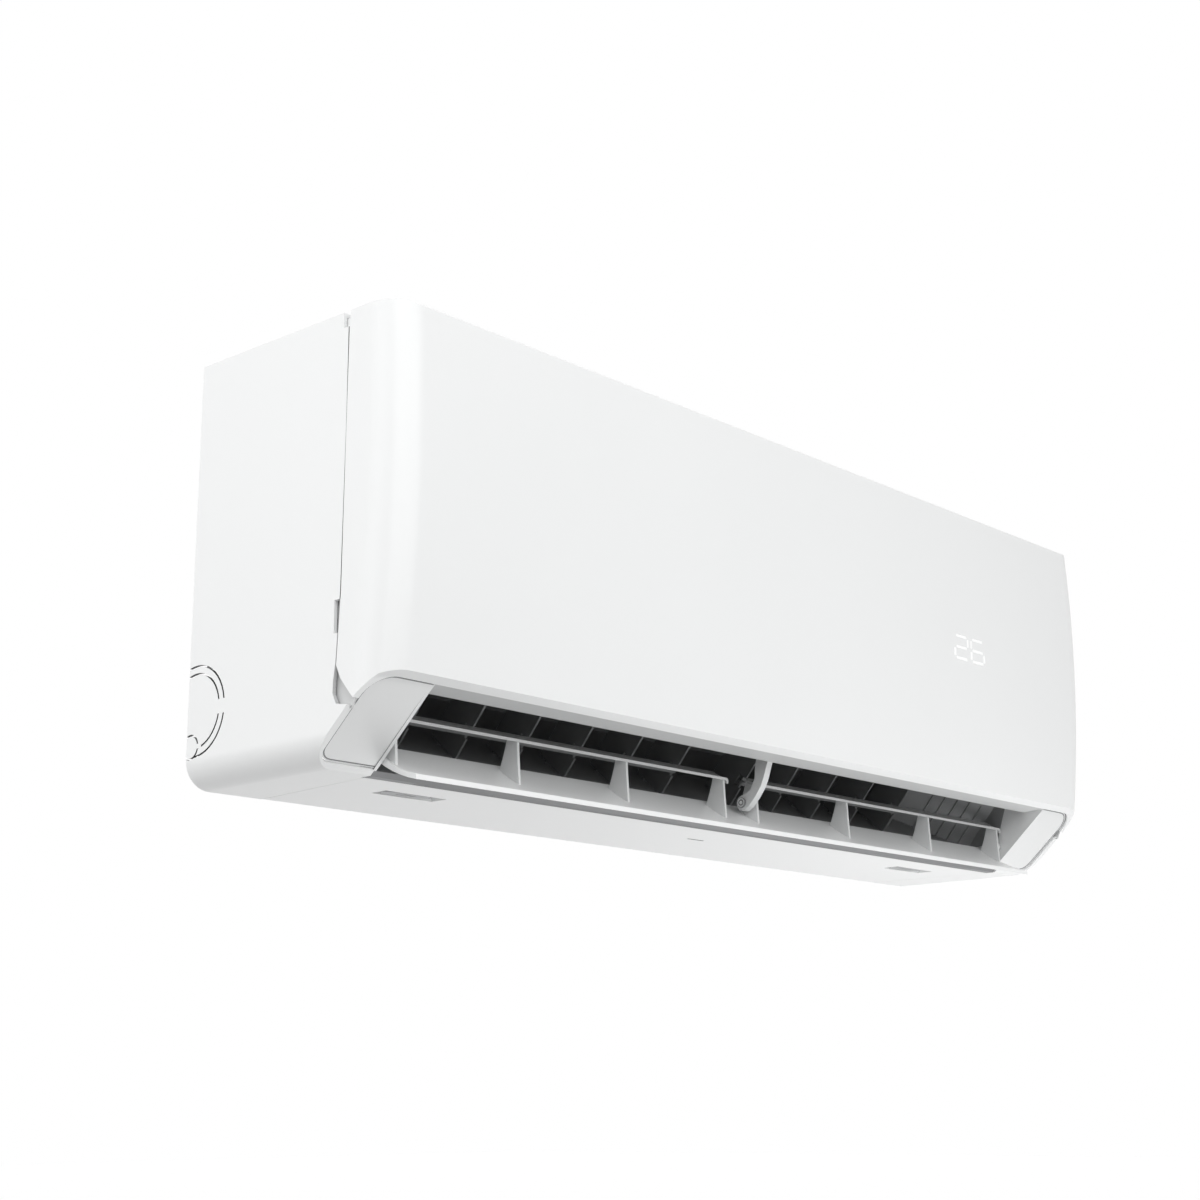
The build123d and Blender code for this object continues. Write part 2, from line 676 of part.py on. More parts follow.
# ---------------------------------------------------------------- rear chassis
# Back wall, scroll behind the fan, bulkheads that carry the fan, motor cradle.
back_wall_y = -10.0
chassis_wall = 2.5
chassis_half = half_width - 5.5
chassis_low_h = 75.0
chassis_top_h = front_height - 10.0
bulkhead_left = fan_left - 10.0
bulkhead_right = fan_right + 4.0
shelf_h = 158.0
motor_left = fan_right + 43.0
motor_length = 60.0
motor_right = motor_left + motor_length
motor_radius = 34.0
motor_gap = 0.3
box_width = 80.0
box_right = half_width - 23.0
box_left = box_right - box_width
box_front_y = -168.0
box_rear_y = -100.0
box_low_h = 158.0
box_high_h = front_height - 24.0
box_wall = 2.0
bearing_radius = 10.0
hook_half = 150.0
hook_width = 30.0
with BuildPart() as rear_chassis:
    bar_between(
        -chassis_half,
        chassis_half,
        back_wall_y - chassis_wall,
        back_wall_y,
        chassis_low_h,
        chassis_top_h,
    )
    # side flanges against the casing
    for side in (-1, 1):
        bar_between(
            side * chassis_half,
            side * (half_width - shell_wall - 0.3),
            back_wall_y - 30.0,
            back_wall_y,
            85.0,
            chassis_top_h - 2.0,
        )
        bar_between(
            side * (chassis_half - 6.0),
            side * (chassis_half + 1.0),
            back_wall_y - chassis_wall,
            back_wall_y,
            85.0,
            chassis_top_h - 2.0,
        )
    # scroll
    with BuildSketch(side_plane(bulkhead_left)) as scroll:
        with BuildLine():
            arc_start = duct_point(floor_run + 0.2, 0.0)
            TangentArc(arc_start, (scroll_top_y, scroll_top_h), tangent=(slope_cos, slope_sin))
            Polyline(
                (scroll_top_y, scroll_top_h),
                (scroll_top_y - 4.0, 140.0),
                (scroll_top_y - 10.0, shelf_h),
                (scroll_top_y - 10.0 + chassis_wall, shelf_h + 0.8),
                (scroll_top_y - 4.0 + chassis_wall, 140.6),
                (scroll_top_y + chassis_wall, scroll_top_h),
            )
            TangentArc(
                duct_point(floor_run + 0.2, -chassis_wall),
                (scroll_top_y + chassis_wall, scroll_top_h),
                tangent=(slope_cos, slope_sin),
            )
            Line(duct_point(floor_run + 0.2, -chassis_wall), arc_start)
        make_face()
    extrude(amount=bulkhead_right + chassis_wall - bulkhead_left)
    # shelves between the scroll and the back wall
    bar_between(
        bulkhead_left,
        bulkhead_right + 14.0,
        scroll_top_y - 9.5,
        back_wall_y - 1.0,
        shelf_h - 1.0,
        shelf_h + 1.5,
    )
    bar_between(
        bulkhead_left,
        bulkhead_right + chassis_wall,
        -43.0,
        back_wall_y - 1.0,
        chassis_low_h,
        chassis_low_h + chassis_wall,
    )
    # bulkheads
    for bulkhead_x in (bulkhead_left, bulkhead_right):
        prism(
            bulkhead_x,
            bulkhead_x + chassis_wall,
            duct_point(left_end_run + 0.4, 0.3),
            duct_point(floor_run - 0.2, 0.3),
            (-52.0, 59.5),
            (-41.5, 80.0),
            (scroll_top_y, scroll_top_h),
            (scroll_top_y - 4.0, 140.0),
            (scroll_top_y - 10.0, shelf_h),
            (-62.0, 166.0),
            (-95.0, 170.0),
            (-128.0, 158.0),
            (-147.0, 138.0),
            (-147.0, 100.0),
            (tongue_tip[0] - 8.0, tongue_tip[1] + 1.5),
            (tongue_tip[0] + 0.6, tongue_tip[1] + 1.5),
            (ceiling_high[0] + 0.8, ceiling_high[1]),
            duct_point(left_end_run + 0.4, 60.0),
        )
    rod(bulkhead_left - 4.0, bulkhead_left + 1.0, fan_y, fan_h, bearing_radius + 3.0)
    rod(bulkhead_left - 8.0, bulkhead_left + 5.0, fan_y, fan_h, bearing_radius + 0.05, Mode.SUBTRACT)
    rod(bulkhead_right - 1.0, bulkhead_right + 5.0, fan_y, fan_h, shaft_radius + 3.0, Mode.SUBTRACT)
    # motor cradle: two webs from the back wall
    for web_x in (motor_left + 10.0, motor_right - 13.0):
        prism(
            web_x,
            web_x + 3.0,
            (back_wall_y - 1.0, 80.0),
            (back_wall_y - 1.0, 152.0),
            (-58.0, 152.0),
            (-66.0, 112.0),
            (-100.0, 78.0),
            (-60.0, 76.0),
        )
        rod(web_x - 1.0, web_x + 4.0, fan_y, fan_h, motor_radius + motor_gap, Mode.SUBTRACT)
    # bracket that carries the electrical box
    bracket_x = box_right - 47.0
    bracket_h = box_high_h - 33.0
    bar_between(
        bracket_x - 20.0,
        bracket_x + 20.0,
        box_rear_y + 0.3,
        back_wall_y - 1.0,
        bracket_h,
        bracket_h + chassis_wall,
    )
    prism(
        bracket_x - 1.5,
        bracket_x + 1.5,
        (back_wall_y - 1.0, bracket_h - 35.0),
        (back_wall_y - 1.0, bracket_h + 1.0),
        (box_rear_y + 0.3, bracket_h + 1.0),
        (box_rear_y + 0.3, bracket_h - 9.0),
    )
    # slots for the hooks of the wall plate
    for side in (-1, 1):
        bar = side * hook_half
        with BuildSketch(level(-underside_z + plate_height / 2 - 6.5)) as hook_slot:
            with Locations((bar, back_wall_y - 1.5)):
                Rectangle(hook_width + 1.0, 6.0)
        extrude(hook_slot.sketch, amount=13.0, mode=Mode.SUBTRACT)
rear_chassis.part.label = "rear_chassis"
export_step(rear_chassis.part, "parts/rear_chassis.step")

# ---------------------------------------------------------------- wall plate
hook_thickness = 1.2
plate_edge = 6.0
with BuildPart() as wall_plate:
    with BuildSketch(Plane.XZ):
        Rectangle(plate_width, plate_height)
        with GridLocations(screw_spacing_x, screw_spacing_z, 2, 2):
            Circle(screw_hole_radius, mode=Mode.SUBTRACT)
        with GridLocations(60.0, 70.0, 6, 1):
            Rectangle(30.0, 6.0, mode=Mode.SUBTRACT)
    extrude(amount=plate_thickness)
    # folded edges along the top and the bottom
    for edge_z in (plate_height / 2 - plate_thickness, -plate_height / 2):
        with BuildSketch(Plane.XY.offset(edge_z)):
            with Locations((0, -plate_edge / 2)):
                Rectangle(plate_width, plate_edge)
        extrude(amount=plate_thickness)
    # hooks that pass through the chassis and stand up behind its back wall
    for side in (-1, 1):
        hook_reach = -back_wall_y + chassis_wall + 0.5 + hook_thickness
        with BuildSketch(Plane.XY.offset(plate_height / 2 - 2.0 - hook_thickness)):
            with Locations((side * hook_half, -hook_reach / 2)):
                Rectangle(hook_width, hook_reach)
        extrude(amount=hook_thickness)
        with BuildSketch(Plane.XY.offset(plate_height / 2 - 2.0 - hook_thickness)):
            with Locations((side * hook_half, -hook_reach + hook_thickness / 2)):
                Rectangle(hook_width, hook_thickness)
        extrude(amount=7.0)
wall_plate.part.label = "wall_plate"
export_step(wall_plate.part, "parts/wall_plate.step")

# ---------------------------------------------------------------- fan
fan_inner_radius = 34.0
blade_thickness = 1.3
blade_lean = 28.0
with BuildPart() as fan_wheel:
    disc_pitch = (fan_right - fan_left - fan_disc_thickness) / (fan_discs - 1)
    for index in range(fan_discs):
        disc_x = fan_left + index * disc_pitch
        with BuildSketch(side_plane(disc_x)) as disc:
            with Locations((fan_y, fan_h)):
                RegularPolygon(fan_radius, 40)
                if 0 < index < fan_discs - 1:
                    RegularPolygon(fan_inner_radius - 2.0, 30, mode=Mode.SUBTRACT)
        extrude(disc.sketch, amount=fan_disc_thickness)
    with BuildSketch(side_plane(fan_left)) as blades:
        for index in range(fan_blades):
            turn = math.radians(index * 360.0 / fan_blades)
            lean = math.radians(blade_lean)
            tip = (fan_y + (fan_radius - 0.6) * math.cos(turn), fan_h + (fan_radius - 0.6) * math.sin(turn))
            root = (
                fan_y + (fan_inner_radius - 1.0) * math.cos(turn + lean * 0.45),
                fan_h + (fan_inner_radius - 1.0) * math.sin(turn + lean * 0.45),
            )
            across = (tip[1] - root[1], root[0] - tip[0])
            chord = math.hypot(across[0], across[1])
            across = (across[0] / chord, across[1] / chord)
            belly = ((tip[0] + root[0]) / 2 + across[0] * 1.8, (tip[1] + root[1]) / 2 + across[1] * 1.8)
            outline(
                tip,
                (belly[0] + across[0] * blade_thickness / 2, belly[1] + across[1] * blade_thickness / 2),
                root,
                (belly[0] - across[0] * blade_thickness / 2, belly[1] - across[1] * blade_thickness / 2),
            )
    extrude(blades.sketch, amount=fan_right - fan_left)
    # hubs for the two shafts
    rod(fan_left, fan_left + 14.0, fan_y, fan_h, 9.0)
    rod(fan_right - 22.0, fan_right, fan_y, fan_h, 12.0)
    rod(fan_left - 1.0, fan_left + 11.0, fan_y, fan_h, shaft_radius, Mode.SUBTRACT)
    rod(fan_right - 19.0, fan_right + 1.0, fan_y, fan_h, shaft_radius, Mode.SUBTRACT)
fan_wheel.part.label = "fan_wheel"
export_step(fan_wheel.part, "parts/fan_wheel.step")

with BuildPart() as fan_stub_shaft:
    rod(fan_left - 19.0, fan_left + 11.0, fan_y, fan_h, shaft_radius)
    chamfer(fan_stub_shaft.edges().group_by(Axis.X)[0], 0.8)
fan_stub_shaft.part.label = "fan_stub_shaft"
export_step(fan_stub_shaft.part, "parts/fan_stub_shaft.step")

with BuildPart() as motor_shaft:
    rod(fan_right - 19.0, motor_right - 5.0, fan_y, fan_h, shaft_radius)
motor_shaft.part.label = "motor_shaft"
export_step(motor_shaft.part, "parts/motor_shaft.step")

with BuildPart() as fan_bearing:
    rod(bulkhead_left - 6.0, bulkhead_left + chassis_wall, fan_y, fan_h, bearing_radius)
    rod(bulkhead_left - 9.0, bulkhead_left - 6.0, fan_y, fan_h, bearing_radius - 2.5)
    rod(
        bulkhead_left - 10.0,
        bulkhead_left + 4.0,
        fan_y,
        fan_h,
        shaft_radius + shaft_clearance,
        Mode.SUBTRACT,
    )
fan_bearing.part.label = "fan_bearing"
export_step(fan_bearing.part, "parts/fan_bearing.step")

with BuildPart() as fan_motor:
    rod(motor_left, motor_right, fan_y, fan_h, motor_radius)
    chamfer(fan_motor.edges().filter_by(GeomType.CIRCLE), 4.0)
    rod(motor_left - 6.0, motor_left, fan_y, fan_h, 12.0)
    rod(
        motor_left - 7.0,
        motor_right - 4.7,
        fan_y,
        fan_h,
        shaft_radius + shaft_clearance,
        Mode.SUBTRACT,
    )
fan_motor.part.label = "fan_motor"
export_step(fan_motor.part, "parts/fan_motor.step")

clamp_left = motor_left + 21.0
clamp_width = 18.0
with BuildPart() as motor_clamp:
    rod(clamp_left, clamp_left + clamp_width, fan_y, fan_h, motor_radius + motor_gap + 1.5)
    bar_between(
        clamp_left + 3.0,
        clamp_left + clamp_width - 3.0,
        -66.0,
        back_wall_y - chassis_wall - 0.3,
        fan_h - 6.0,
        fan_h + 6.0,
    )
    rod(
        clamp_left - 1.0,
        clamp_left + clamp_width + 1.0,
        fan_y,
        fan_h,
        motor_radius + motor_gap,
        Mode.SUBTRACT,
    )
motor_clamp.part.label = "motor_clamp"
export_step(motor_clamp.part, "parts/motor_clamp.step")

# ---------------------------------------------------------------- louver
# Curved plate, eight fins that stand on it and two narrow blades clipped on top of them.
louver_near = (-150.0, -2.0)
louver_mid = (-126.6, 7.05)
louver_far = (-106.0, 21.4)
louver_thickness = 3.4
fin_thickness = 2.0
fin_edge = 5.0
fins_a_side = 4
left_fin_end = -27.0
left_fin_pitch = 103.0
right_fin_start = 10.0
right_fin_pitch = 111.5
left_fins = [left_fin_end - index * left_fin_pitch for index in reversed(range(fins_a_side - 1))]
right_fins = [right_fin_start + index * right_fin_pitch for index in range(fins_a_side - 1)]
fin_places = [-louver_half + fin_edge] + left_fins + right_fins + [louver_half - fin_edge]
blade_spans = (
    (-louver_half + fin_edge - 2.0, left_fin_end + 1.0),
    (right_fin_start - 1.0, louver_half - fin_edge + 2.0),
)
end_pin_length = 8.0
with BuildPart() as louver:
    with BuildSketch(side_plane(-louver_half)):
        with BuildLine():
            ThreePointArc(louver_near, louver_mid, louver_far)
            Line(louver_far, (louver_far[0] + 1.6, louver_far[1] - 3.0))
            ThreePointArc(
                (louver_far[0] + 1.6, louver_far[1] - 3.0),
                (louver_mid[0] + 1.6, louver_mid[1] - 3.0),
                (louver_near[0] - 0.5, louver_near[1] - louver_thickness),
            )
            Line((louver_near[0] - 0.5, louver_near[1] - louver_thickness), louver_near)
        make_face()
    extrude(amount=2 * louver_half)
louver.part.label = "louver"
export_step(louver.part, "parts/louver.step")

with BuildPart() as louver_blades:
    for blade_start, blade_end in blade_spans:
        with BuildSketch(side_plane(blade_start)):
            with BuildLine():
                ThreePointArc((-127.0, 33.5), (-120.3, 35.9), (-114.5, 39.5))
                Line((-114.5, 39.5), (-115.4, 41.2))
                ThreePointArc((-115.4, 41.2), (-120.9, 37.7), (-127.6, 35.3))
                Line((-127.6, 35.3), (-127.0, 33.5))
            make_face()
        extrude(amount=blade_end - blade_start)
louver_blades.part.label = "louver_blades"
export_step(louver_blades.part, "parts/louver_blades.step")

with BuildPart() as louver_fins:
    for fin_x in fin_places:
        with BuildSketch(side_plane(fin_x - fin_thickness / 2)):
            with BuildLine():
                Line((-128.0, 5.0), (-110.0, 17.0))
                ThreePointArc((-110.0, 17.0), (-113.6, 26.0), (-117.5, 38.6))
                Line((-117.5, 38.6), (-126.2, 34.5))
                ThreePointArc((-126.2, 34.5), (-126.9, 20.0), (-128.0, 5.0))
            make_face()
        extrude(amount=fin_thickness)
    add(louver.part, mode=Mode.SUBTRACT)
    add(louver_blades.part, mode=Mode.SUBTRACT)
    rod(-louver_half - end_pin_length, fin_places[0], pivot_y, pivot_h, bush_pin_radius)
    rod(fin_places[-1], louver_half + end_pin_length, pivot_y, pivot_h, bush_pin_radius)
    rod(
        right_fin_start - fin_thickness,
        right_fin_start + fin_thickness,
        pivot_y,
        pivot_h,
        pivot_pin_radius + pin_clearance,
        Mode.SUBTRACT,
    )
louver_fins.part.label = "louver_fins"
export_step(louver_fins.part, "parts/louver_fins.step")

arm_x = -1.0
arm_thickness = 6.0
with BuildPart() as louver_arm:
    with BuildSketch(side_plane(arm_x)):
        outline(
            (ceiling_low[0] + 1.4, ceiling_low[1] + 2.0),
            (-145.4, 47.4),
            (-141.6, 36.4),
            (-138.8, 30.6),
            (-133.4, 23.6),
            (-127.2, 17.2),
            (pivot_y, pivot_h - 5.0),
            (pivot_y, pivot_h + 5.4),
            (-129.4, 29.3),
            (-133.2, 36.6),
            (-134.3, 47.6),
            (-141.2, 66.9),
        )
        with Locations((pivot_y, pivot_h)):
            Circle(5.5)
            Circle(pivot_pin_radius + pin_clearance, mode=Mode.SUBTRACT)
    extrude(amount=arm_thickness)
louver_arm.part.label = "louver_arm"
export_step(louver_arm.part, "parts/louver_arm.step")

with BuildPart() as louver_pin:
    rod(arm_x - 2.0, arm_x - 0.3, pivot_y, pivot_h, 3.6)
    rod(arm_x - 0.4, right_fin_start + 2.0, pivot_y, pivot_h, pivot_pin_radius)
louver_pin.part.label = "louver_pin"
export_step(louver_pin.part, "parts/louver_pin.step")

with BuildPart() as louver_bush:
    rod(-side_wall_x - 4.5, -side_wall_x - 0.0, pivot_y, pivot_h, bush_radius)
    rod(-side_wall_x - 4.5, -side_wall_x - duct_wall - 0.1, pivot_y, pivot_h, bush_radius + 1.5)
    rod(
        -side_wall_x - 5.0,
        -side_wall_x + 1.0,
        pivot_y,
        pivot_h,
        bush_pin_radius + pin_clearance,
        Mode.SUBTRACT,
    )
louver_bush.part.label = "louver_bush"
export_step(louver_bush.part, "parts/louver_bush.step")

louver_motor_y = -117.5
louver_motor_h = 25.5
with BuildPart() as louver_motor:
    rod(side_wall_x + duct_wall + 0.3, side_wall_x + 26.0, louver_motor_y, louver_motor_h, 13.0)
    bar_between(
        side_wall_x + duct_wall + 0.3,
        side_wall_x + duct_wall + 1.3,
        louver_motor_y - 3.0,
        louver_motor_y + 24.0,
        louver_motor_h - 3.0,
        louver_motor_h + 3.0,
    )
    rod(
        side_wall_x,
        louver_half + end_pin_length + 1.0,
        pivot_y,
        pivot_h,
        bush_pin_radius + pin_clearance,
        Mode.SUBTRACT,
    )
louver_motor.part.label = "louver_motor"
export_step(louver_motor.part, "parts/louver_motor.step")


# ---------------------------------------------------------------- air vanes and their link bars
def vane_solid(x):
    """One upright vane with its pivot pin in the floor and its pin for the link bar."""
    with BuildSketch(duct_plane(x - vane_thickness / 2)) as leaf:
        outline(
            (29.0, 1.0),
            (58.0, 1.0),
            (58.0, 28.0),
            (50.0, 38.0),
            (42.0, 52.0),
            (36.0, 62.0),
            (29.0, 64.0),
            (29.0, 25.0),
            (36.0, 25.0),
            (36.0, 17.0),
            (29.0, 17.0),
        )
    extrude(leaf.sketch, amount=vane_thickness)
    with BuildSketch(duct_floor_plane(-duct_wall - 0.7)) as foot:
        with Locations((x, vane_pivot_run)):
            Circle(vane_pin_radius)
    extrude(foot.sketch, amount=duct_wall + 1.9)
    with BuildSketch(duct_floor_plane(16.5)) as link_post:
        with Locations((x, vane_link_run)):
            Circle(vane_link_pin_radius)
    extrude(link_post.sketch, amount=9.0)


for index in range(vane_left_count):
    with BuildPart() as vane:
        vane_solid(vane_left_start + index * vane_left_pitch)
    vane.part.label = "vane_left_" + str(index + 1)
    export_step(vane.part, "parts/vane_left_" + str(index + 1) + ".step")
for index in range(vane_right_count):
    with BuildPart() as vane:
        vane_solid(vane_right_start + index * vane_right_pitch)
    vane.part.label = "vane_right_" + str(index + 1)
    export_step(vane.part, "parts/vane_right_" + str(index + 1) + ".step")

link_thickness = 3.0
link_width = 5.0
for link_name, link_start, link_end, link_count in (
    ("vane_link_left", vane_left_start, vane_left_end, vane_left_count),
    ("vane_link_right", vane_right_start, vane_right_end, vane_right_count),
):
    with BuildPart() as vane_link:
        link_pitch = (link_end - link_start) / (link_count - 1)
        with BuildSketch(duct_floor_plane(vane_link_rise - link_thickness / 2)):
            with Locations(((link_start + link_end) / 2, vane_link_run)):
                SlotCenterToCenter(link_end - link_start, link_width)
            for index in range(link_count):
                with Locations((link_start + index * link_pitch, vane_link_run)):
                    Circle(vane_link_pin_radius + vane_link_clearance, mode=Mode.SUBTRACT)
        extrude(amount=link_thickness)
    vane_link.part.label = link_name
    export_step(vane_link.part, "parts/" + link_name + ".step")

# ---------------------------------------------------------------- evaporator
coil_left = bulkhead_left + 6.0
coil_right = bulkhead_right + 9.0
coil_half = 10.0
coil_lines = (
    ("evaporator_front_lower", (-159.8, 62.0), (-159.8, 145.5)),
    ("evaporator_front_upper", (-160.0, 152.0), (-109.0, front_height - 40.0)),
    ("evaporator_rear", (-91.5, front_height - 45.5), (-42.0, 175.0)),
)
fin_slots = 36
for coil_name, coil_start, coil_end in coil_lines:
    with BuildPart() as coil:
        prism(coil_left, coil_right, *slab_corners(coil_start, coil_end, coil_half))
        slot_pitch = (coil_right - coil_left) / fin_slots
        for index in range(fin_slots):
            slot_x = coil_left + (index + 0.5) * slot_pitch
            corners = slab_corners(coil_start, coil_end, coil_half + 1.0, 1.0)
            inner = slab_corners(coil_start, coil_end, coil_half - 4.0, 1.0)
            prism(
                slot_x - 1.0,
                slot_x + 1.0,
                corners[0],
                corners[1],
                inner[1],
                inner[0],
                mode=Mode.SUBTRACT,
            )
    coil.part.label = coil_name
    export_step(coil.part, "parts/" + coil_name + ".step")

tray_floor_h = 52.6
tray_wall = 2.0
tray_half = half_width - 24.0
tray_front_y = -172.0
tray_rear_y = -150.0
coil_plate_thickness = 1.5
with BuildPart() as evaporator_plates:
    for plate_x in (coil_left - 0.2 - coil_plate_thickness, coil_right + 0.2):
        for coil_name, coil_start, coil_end in coil_lines:
            prism(
                plate_x,
                plate_x + coil_plate_thickness,
                *slab_corners(coil_start, coil_end, coil_half, 1.0),
            )
        prism(
            plate_x,
            plate_x + coil_plate_thickness,
            (-160.0, 140.0),
            (-150.5, 140.0),
            (-150.0, 160.0),
            (-160.0, 165.0),
        )
        prism(
            plate_x,
            plate_x + coil_plate_thickness,
            (-117.0, front_height - 48.0),
            (-90.0, front_height - 60.0),
            (-92.0, front_height - 38.0),
            (-110.0, front_height - 36.0),
        )
        # rail under the filter
        prism(
            plate_x,
            plate_x + coil_plate_thickness,
            (-171.7, 153.5),
            (-127.2, front_height - 36.0),
            (-116.0, front_height - 39.0),
            (-160.0, 160.0),
        )
        # feet in the drip tray and on the chassis shelf
        bar_between(
            plate_x,
            plate_x + coil_plate_thickness,
            -166.0,
            -154.0,
            tray_floor_h + tray_wall + 0.3,
            64.0,
        )
        prism(
            plate_x,
            plate_x + coil_plate_thickness,
            (-44.5, shelf_h + 1.8),
            (-30.0, shelf_h + 1.8),
            (-36.0, 182.0),
            (-50.0, 176.0),
        )
evaporator_plates.part.label = "evaporator_plates"
export_step(evaporator_plates.part, "parts/evaporator_plates.step")

bend_radius = 8.0
tube_radius = 3.5
with BuildPart() as tube_bends:
    bend_x = coil_right + coil_plate_thickness + 0.4
    for coil_name, coil_start, coil_end in coil_lines:
        run = math.hypot(coil_end[0] - coil_start[0], coil_end[1] - coil_start[1])
        along = ((coil_end[0] - coil_start[0]) / run, (coil_end[1] - coil_start[1]) / run)
        for share in (0.2, 0.5, 0.8):
            mid = (coil_start[0] + along[0] * run * share, coil_start[1] + along[1] * run * share)
            with BuildSketch(side_plane(bend_x)) as tube_end:
                with Locations((mid[0] + along[0] * bend_radius, mid[1] + along[1] * bend_radius)):
                    RegularPolygon(tube_radius, 6)
            turn_axis = Axis((bend_x, mid[0], underside_z + mid[1]), (0, along[1], -along[0]))
            revolve(tube_end.sketch, axis=turn_axis, revolution_arc=180)
tube_bends.part.label = "tube_bends"
export_step(tube_bends.part, "parts/tube_bends.step")

# ---------------------------------------------------------------- drip tray
with BuildPart() as drip_tray:
    prism(
        -tray_half,
        tray_half,
        (tray_rear_y, tray_floor_h),
        (tray_rear_y, 60.5),
        (tray_rear_y - tray_wall, 60.5),
        (tray_rear_y - tray_wall, tray_floor_h + tray_wall),
        (tray_front_y + tray_wall, tray_floor_h + tray_wall),
        (tray_front_y + tray_wall, 72.0),
        (tray_front_y, 72.0),
        (tray_front_y, tray_floor_h),
    )
    for end_x in (-tray_half, tray_half - tray_wall):
        bar_between(
            end_x,
            end_x + tray_wall,
            tray_front_y + 1.0,
            tray_rear_y - 1.0,
            tray_floor_h + 1.0,
            68.0,
        )
    # pads that stand on the upper lip of the outlet frame
    for pad_x in (-tray_half + 71.0, 0.0, tray_half - 71.0):
        bar_between(pad_x - 15.0, pad_x + 15.0, -165.0, -156.0, lip_h + 1.9, tray_floor_h + 1.0)
    for drain_x in (-tray_half - 1.0, tray_half - tray_wall - 1.0):
        rod(drain_x, drain_x + tray_wall + 2.0, -161.0, 60.0, 5.0, Mode.SUBTRACT)
drip_tray.part.label = "drip_tray"
export_step(drip_tray.part, "parts/drip_tray.step")

with BuildPart() as drain_spigot:
    rod(tray_half + 0.2, tray_half + 2.2, -161.0, 60.0, 7.0)
    rod(tray_half - tray_wall + 0.1, tray_half + 16.0, -161.0, 60.0, 4.9)
    rod(tray_half - 5.0, tray_half + 17.0, -161.0, 60.0, 3.4, Mode.SUBTRACT)
drain_spigot.part.label = "drain_spigot"
export_step(drain_spigot.part, "parts/drain_spigot.step")

with BuildPart() as drain_plug:
    rod(-tray_half - 3.0, -tray_half - 0.2, -161.0, 60.0, 7.0)
    rod(-tray_half - 1.0, -tray_half + tray_wall + 2.0, -161.0, 60.0, 4.9)
drain_plug.part.label = "drain_plug"
export_step(drain_plug.part, "parts/drain_plug.step")

# ---------------------------------------------------------------- air filters
filter_line = (
    (-173.4, 86.0),
    (-173.4, 154.0),
    (-128.0, front_height - 34.0),
    (-100.0, front_height - 21.0),
    (-46.0, front_height - 50.0),
)
filter_thickness = 2.0
filter_spans = (("left", coil_left - 6.0, -46.0), ("right", -36.0, coil_right + 9.0))
filter_bar = 8.0
for filter_side, filter_start, filter_end in filter_spans:
    with BuildPart() as filter_frame:
        with BuildSketch(side_plane(filter_start)) as strip:
            with BuildLine() as strip_line:
                Polyline(*filter_line)
                offset(amount=filter_thickness / 2, side=Side.BOTH)
            make_face(strip_line.edges())
        extrude(strip.sketch, amount=filter_end - filter_start)
        window_count = 4
        window_pitch = (filter_end - filter_start - filter_bar) / window_count
        for index in range(window_count):
            window_mid = filter_start + filter_bar / 2 + (index + 0.5) * window_pitch
            for low, high in zip(filter_line[:-1], filter_line[1:]):
                prism(
                    window_mid - (window_pitch - filter_bar) / 2,
                    window_mid + (window_pitch - filter_bar) / 2,
                    *slab_corners(low, high, 4.0, -filter_bar / 2),
                    mode=Mode.SUBTRACT,
                )
    filter_frame.part.label = "filter_frame_" + filter_side
    export_step(filter_frame.part, "parts/filter_frame_" + filter_side + ".step")
    with BuildPart() as filter_mesh:
        for index in range(window_count):
            window_mid = filter_start + filter_bar / 2 + (index + 0.5) * window_pitch
            for low, high in zip(filter_line[:-1], filter_line[1:]):
                prism(
                    window_mid - (window_pitch - filter_bar) / 2 + 0.1,
                    window_mid + (window_pitch - filter_bar) / 2 - 0.1,
                    *slab_corners(low, high, 0.3, -filter_bar / 2 - 0.1),
                )
    filter_mesh.part.label = "filter_mesh_" + filter_side
    export_step(filter_mesh.part, "parts/filter_mesh_" + filter_side + ".step")

# ---------------------------------------------------------------- electrical box
lid_thickness = 1.6
with BuildPart() as electrical_box:
    prism(
        box_left,
        box_right,
        (box_front_y, box_low_h),
        (box_front_y, 190.0),
        (-128.0, box_high_h),
        (box_rear_y, box_high_h),
        (box_rear_y, box_low_h),
    )
    prism(
        box_left + box_wall,
        box_right - box_wall,
        (box_front_y - 2.0, box_low_h + box_wall),
        (box_front_y - 2.0, 190.0),
        (-129.5, box_high_h + 0.5),
        (-126.0, box_high_h - box_wall),
        (box_rear_y - box_wall, box_high_h - box_wall),
        (box_rear_y - box_wall, box_low_h + box_wall),
        mode=Mode.SUBTRACT,
    )
electrical_box.part.label = "electrical_box"
export_step(electrical_box.part, "parts/electrical_box.step")

button_h = 172.0
button_x = box_right - 20.0
button_radius = 3.0
button_travel = 1.5
with BuildPart() as electrical_lid:
    prism(
        box_left,
        box_right,
        (box_front_y - 0.2, box_low_h),
        (box_front_y - 0.2, 190.0),
        (-128.2, box_high_h + 0.2),
        (-129.6, box_high_h + 0.9),
        (box_front_y - 0.2 - lid_thickness, 190.5),
        (box_front_y - 0.2 - lid_thickness, box_low_h),
    )
    with BuildSketch(Plane.XZ.offset(-box_front_y - 5.0)) as button_hole:
        with Locations((button_x, underside_z + button_h)):
            Circle(button_radius + 0.1)
    extrude(button_hole.sketch, amount=10.0, mode=Mode.SUBTRACT)
electrical_lid.part.label = "electrical_lid"
export_step(electrical_lid.part, "parts/electrical_lid.step")

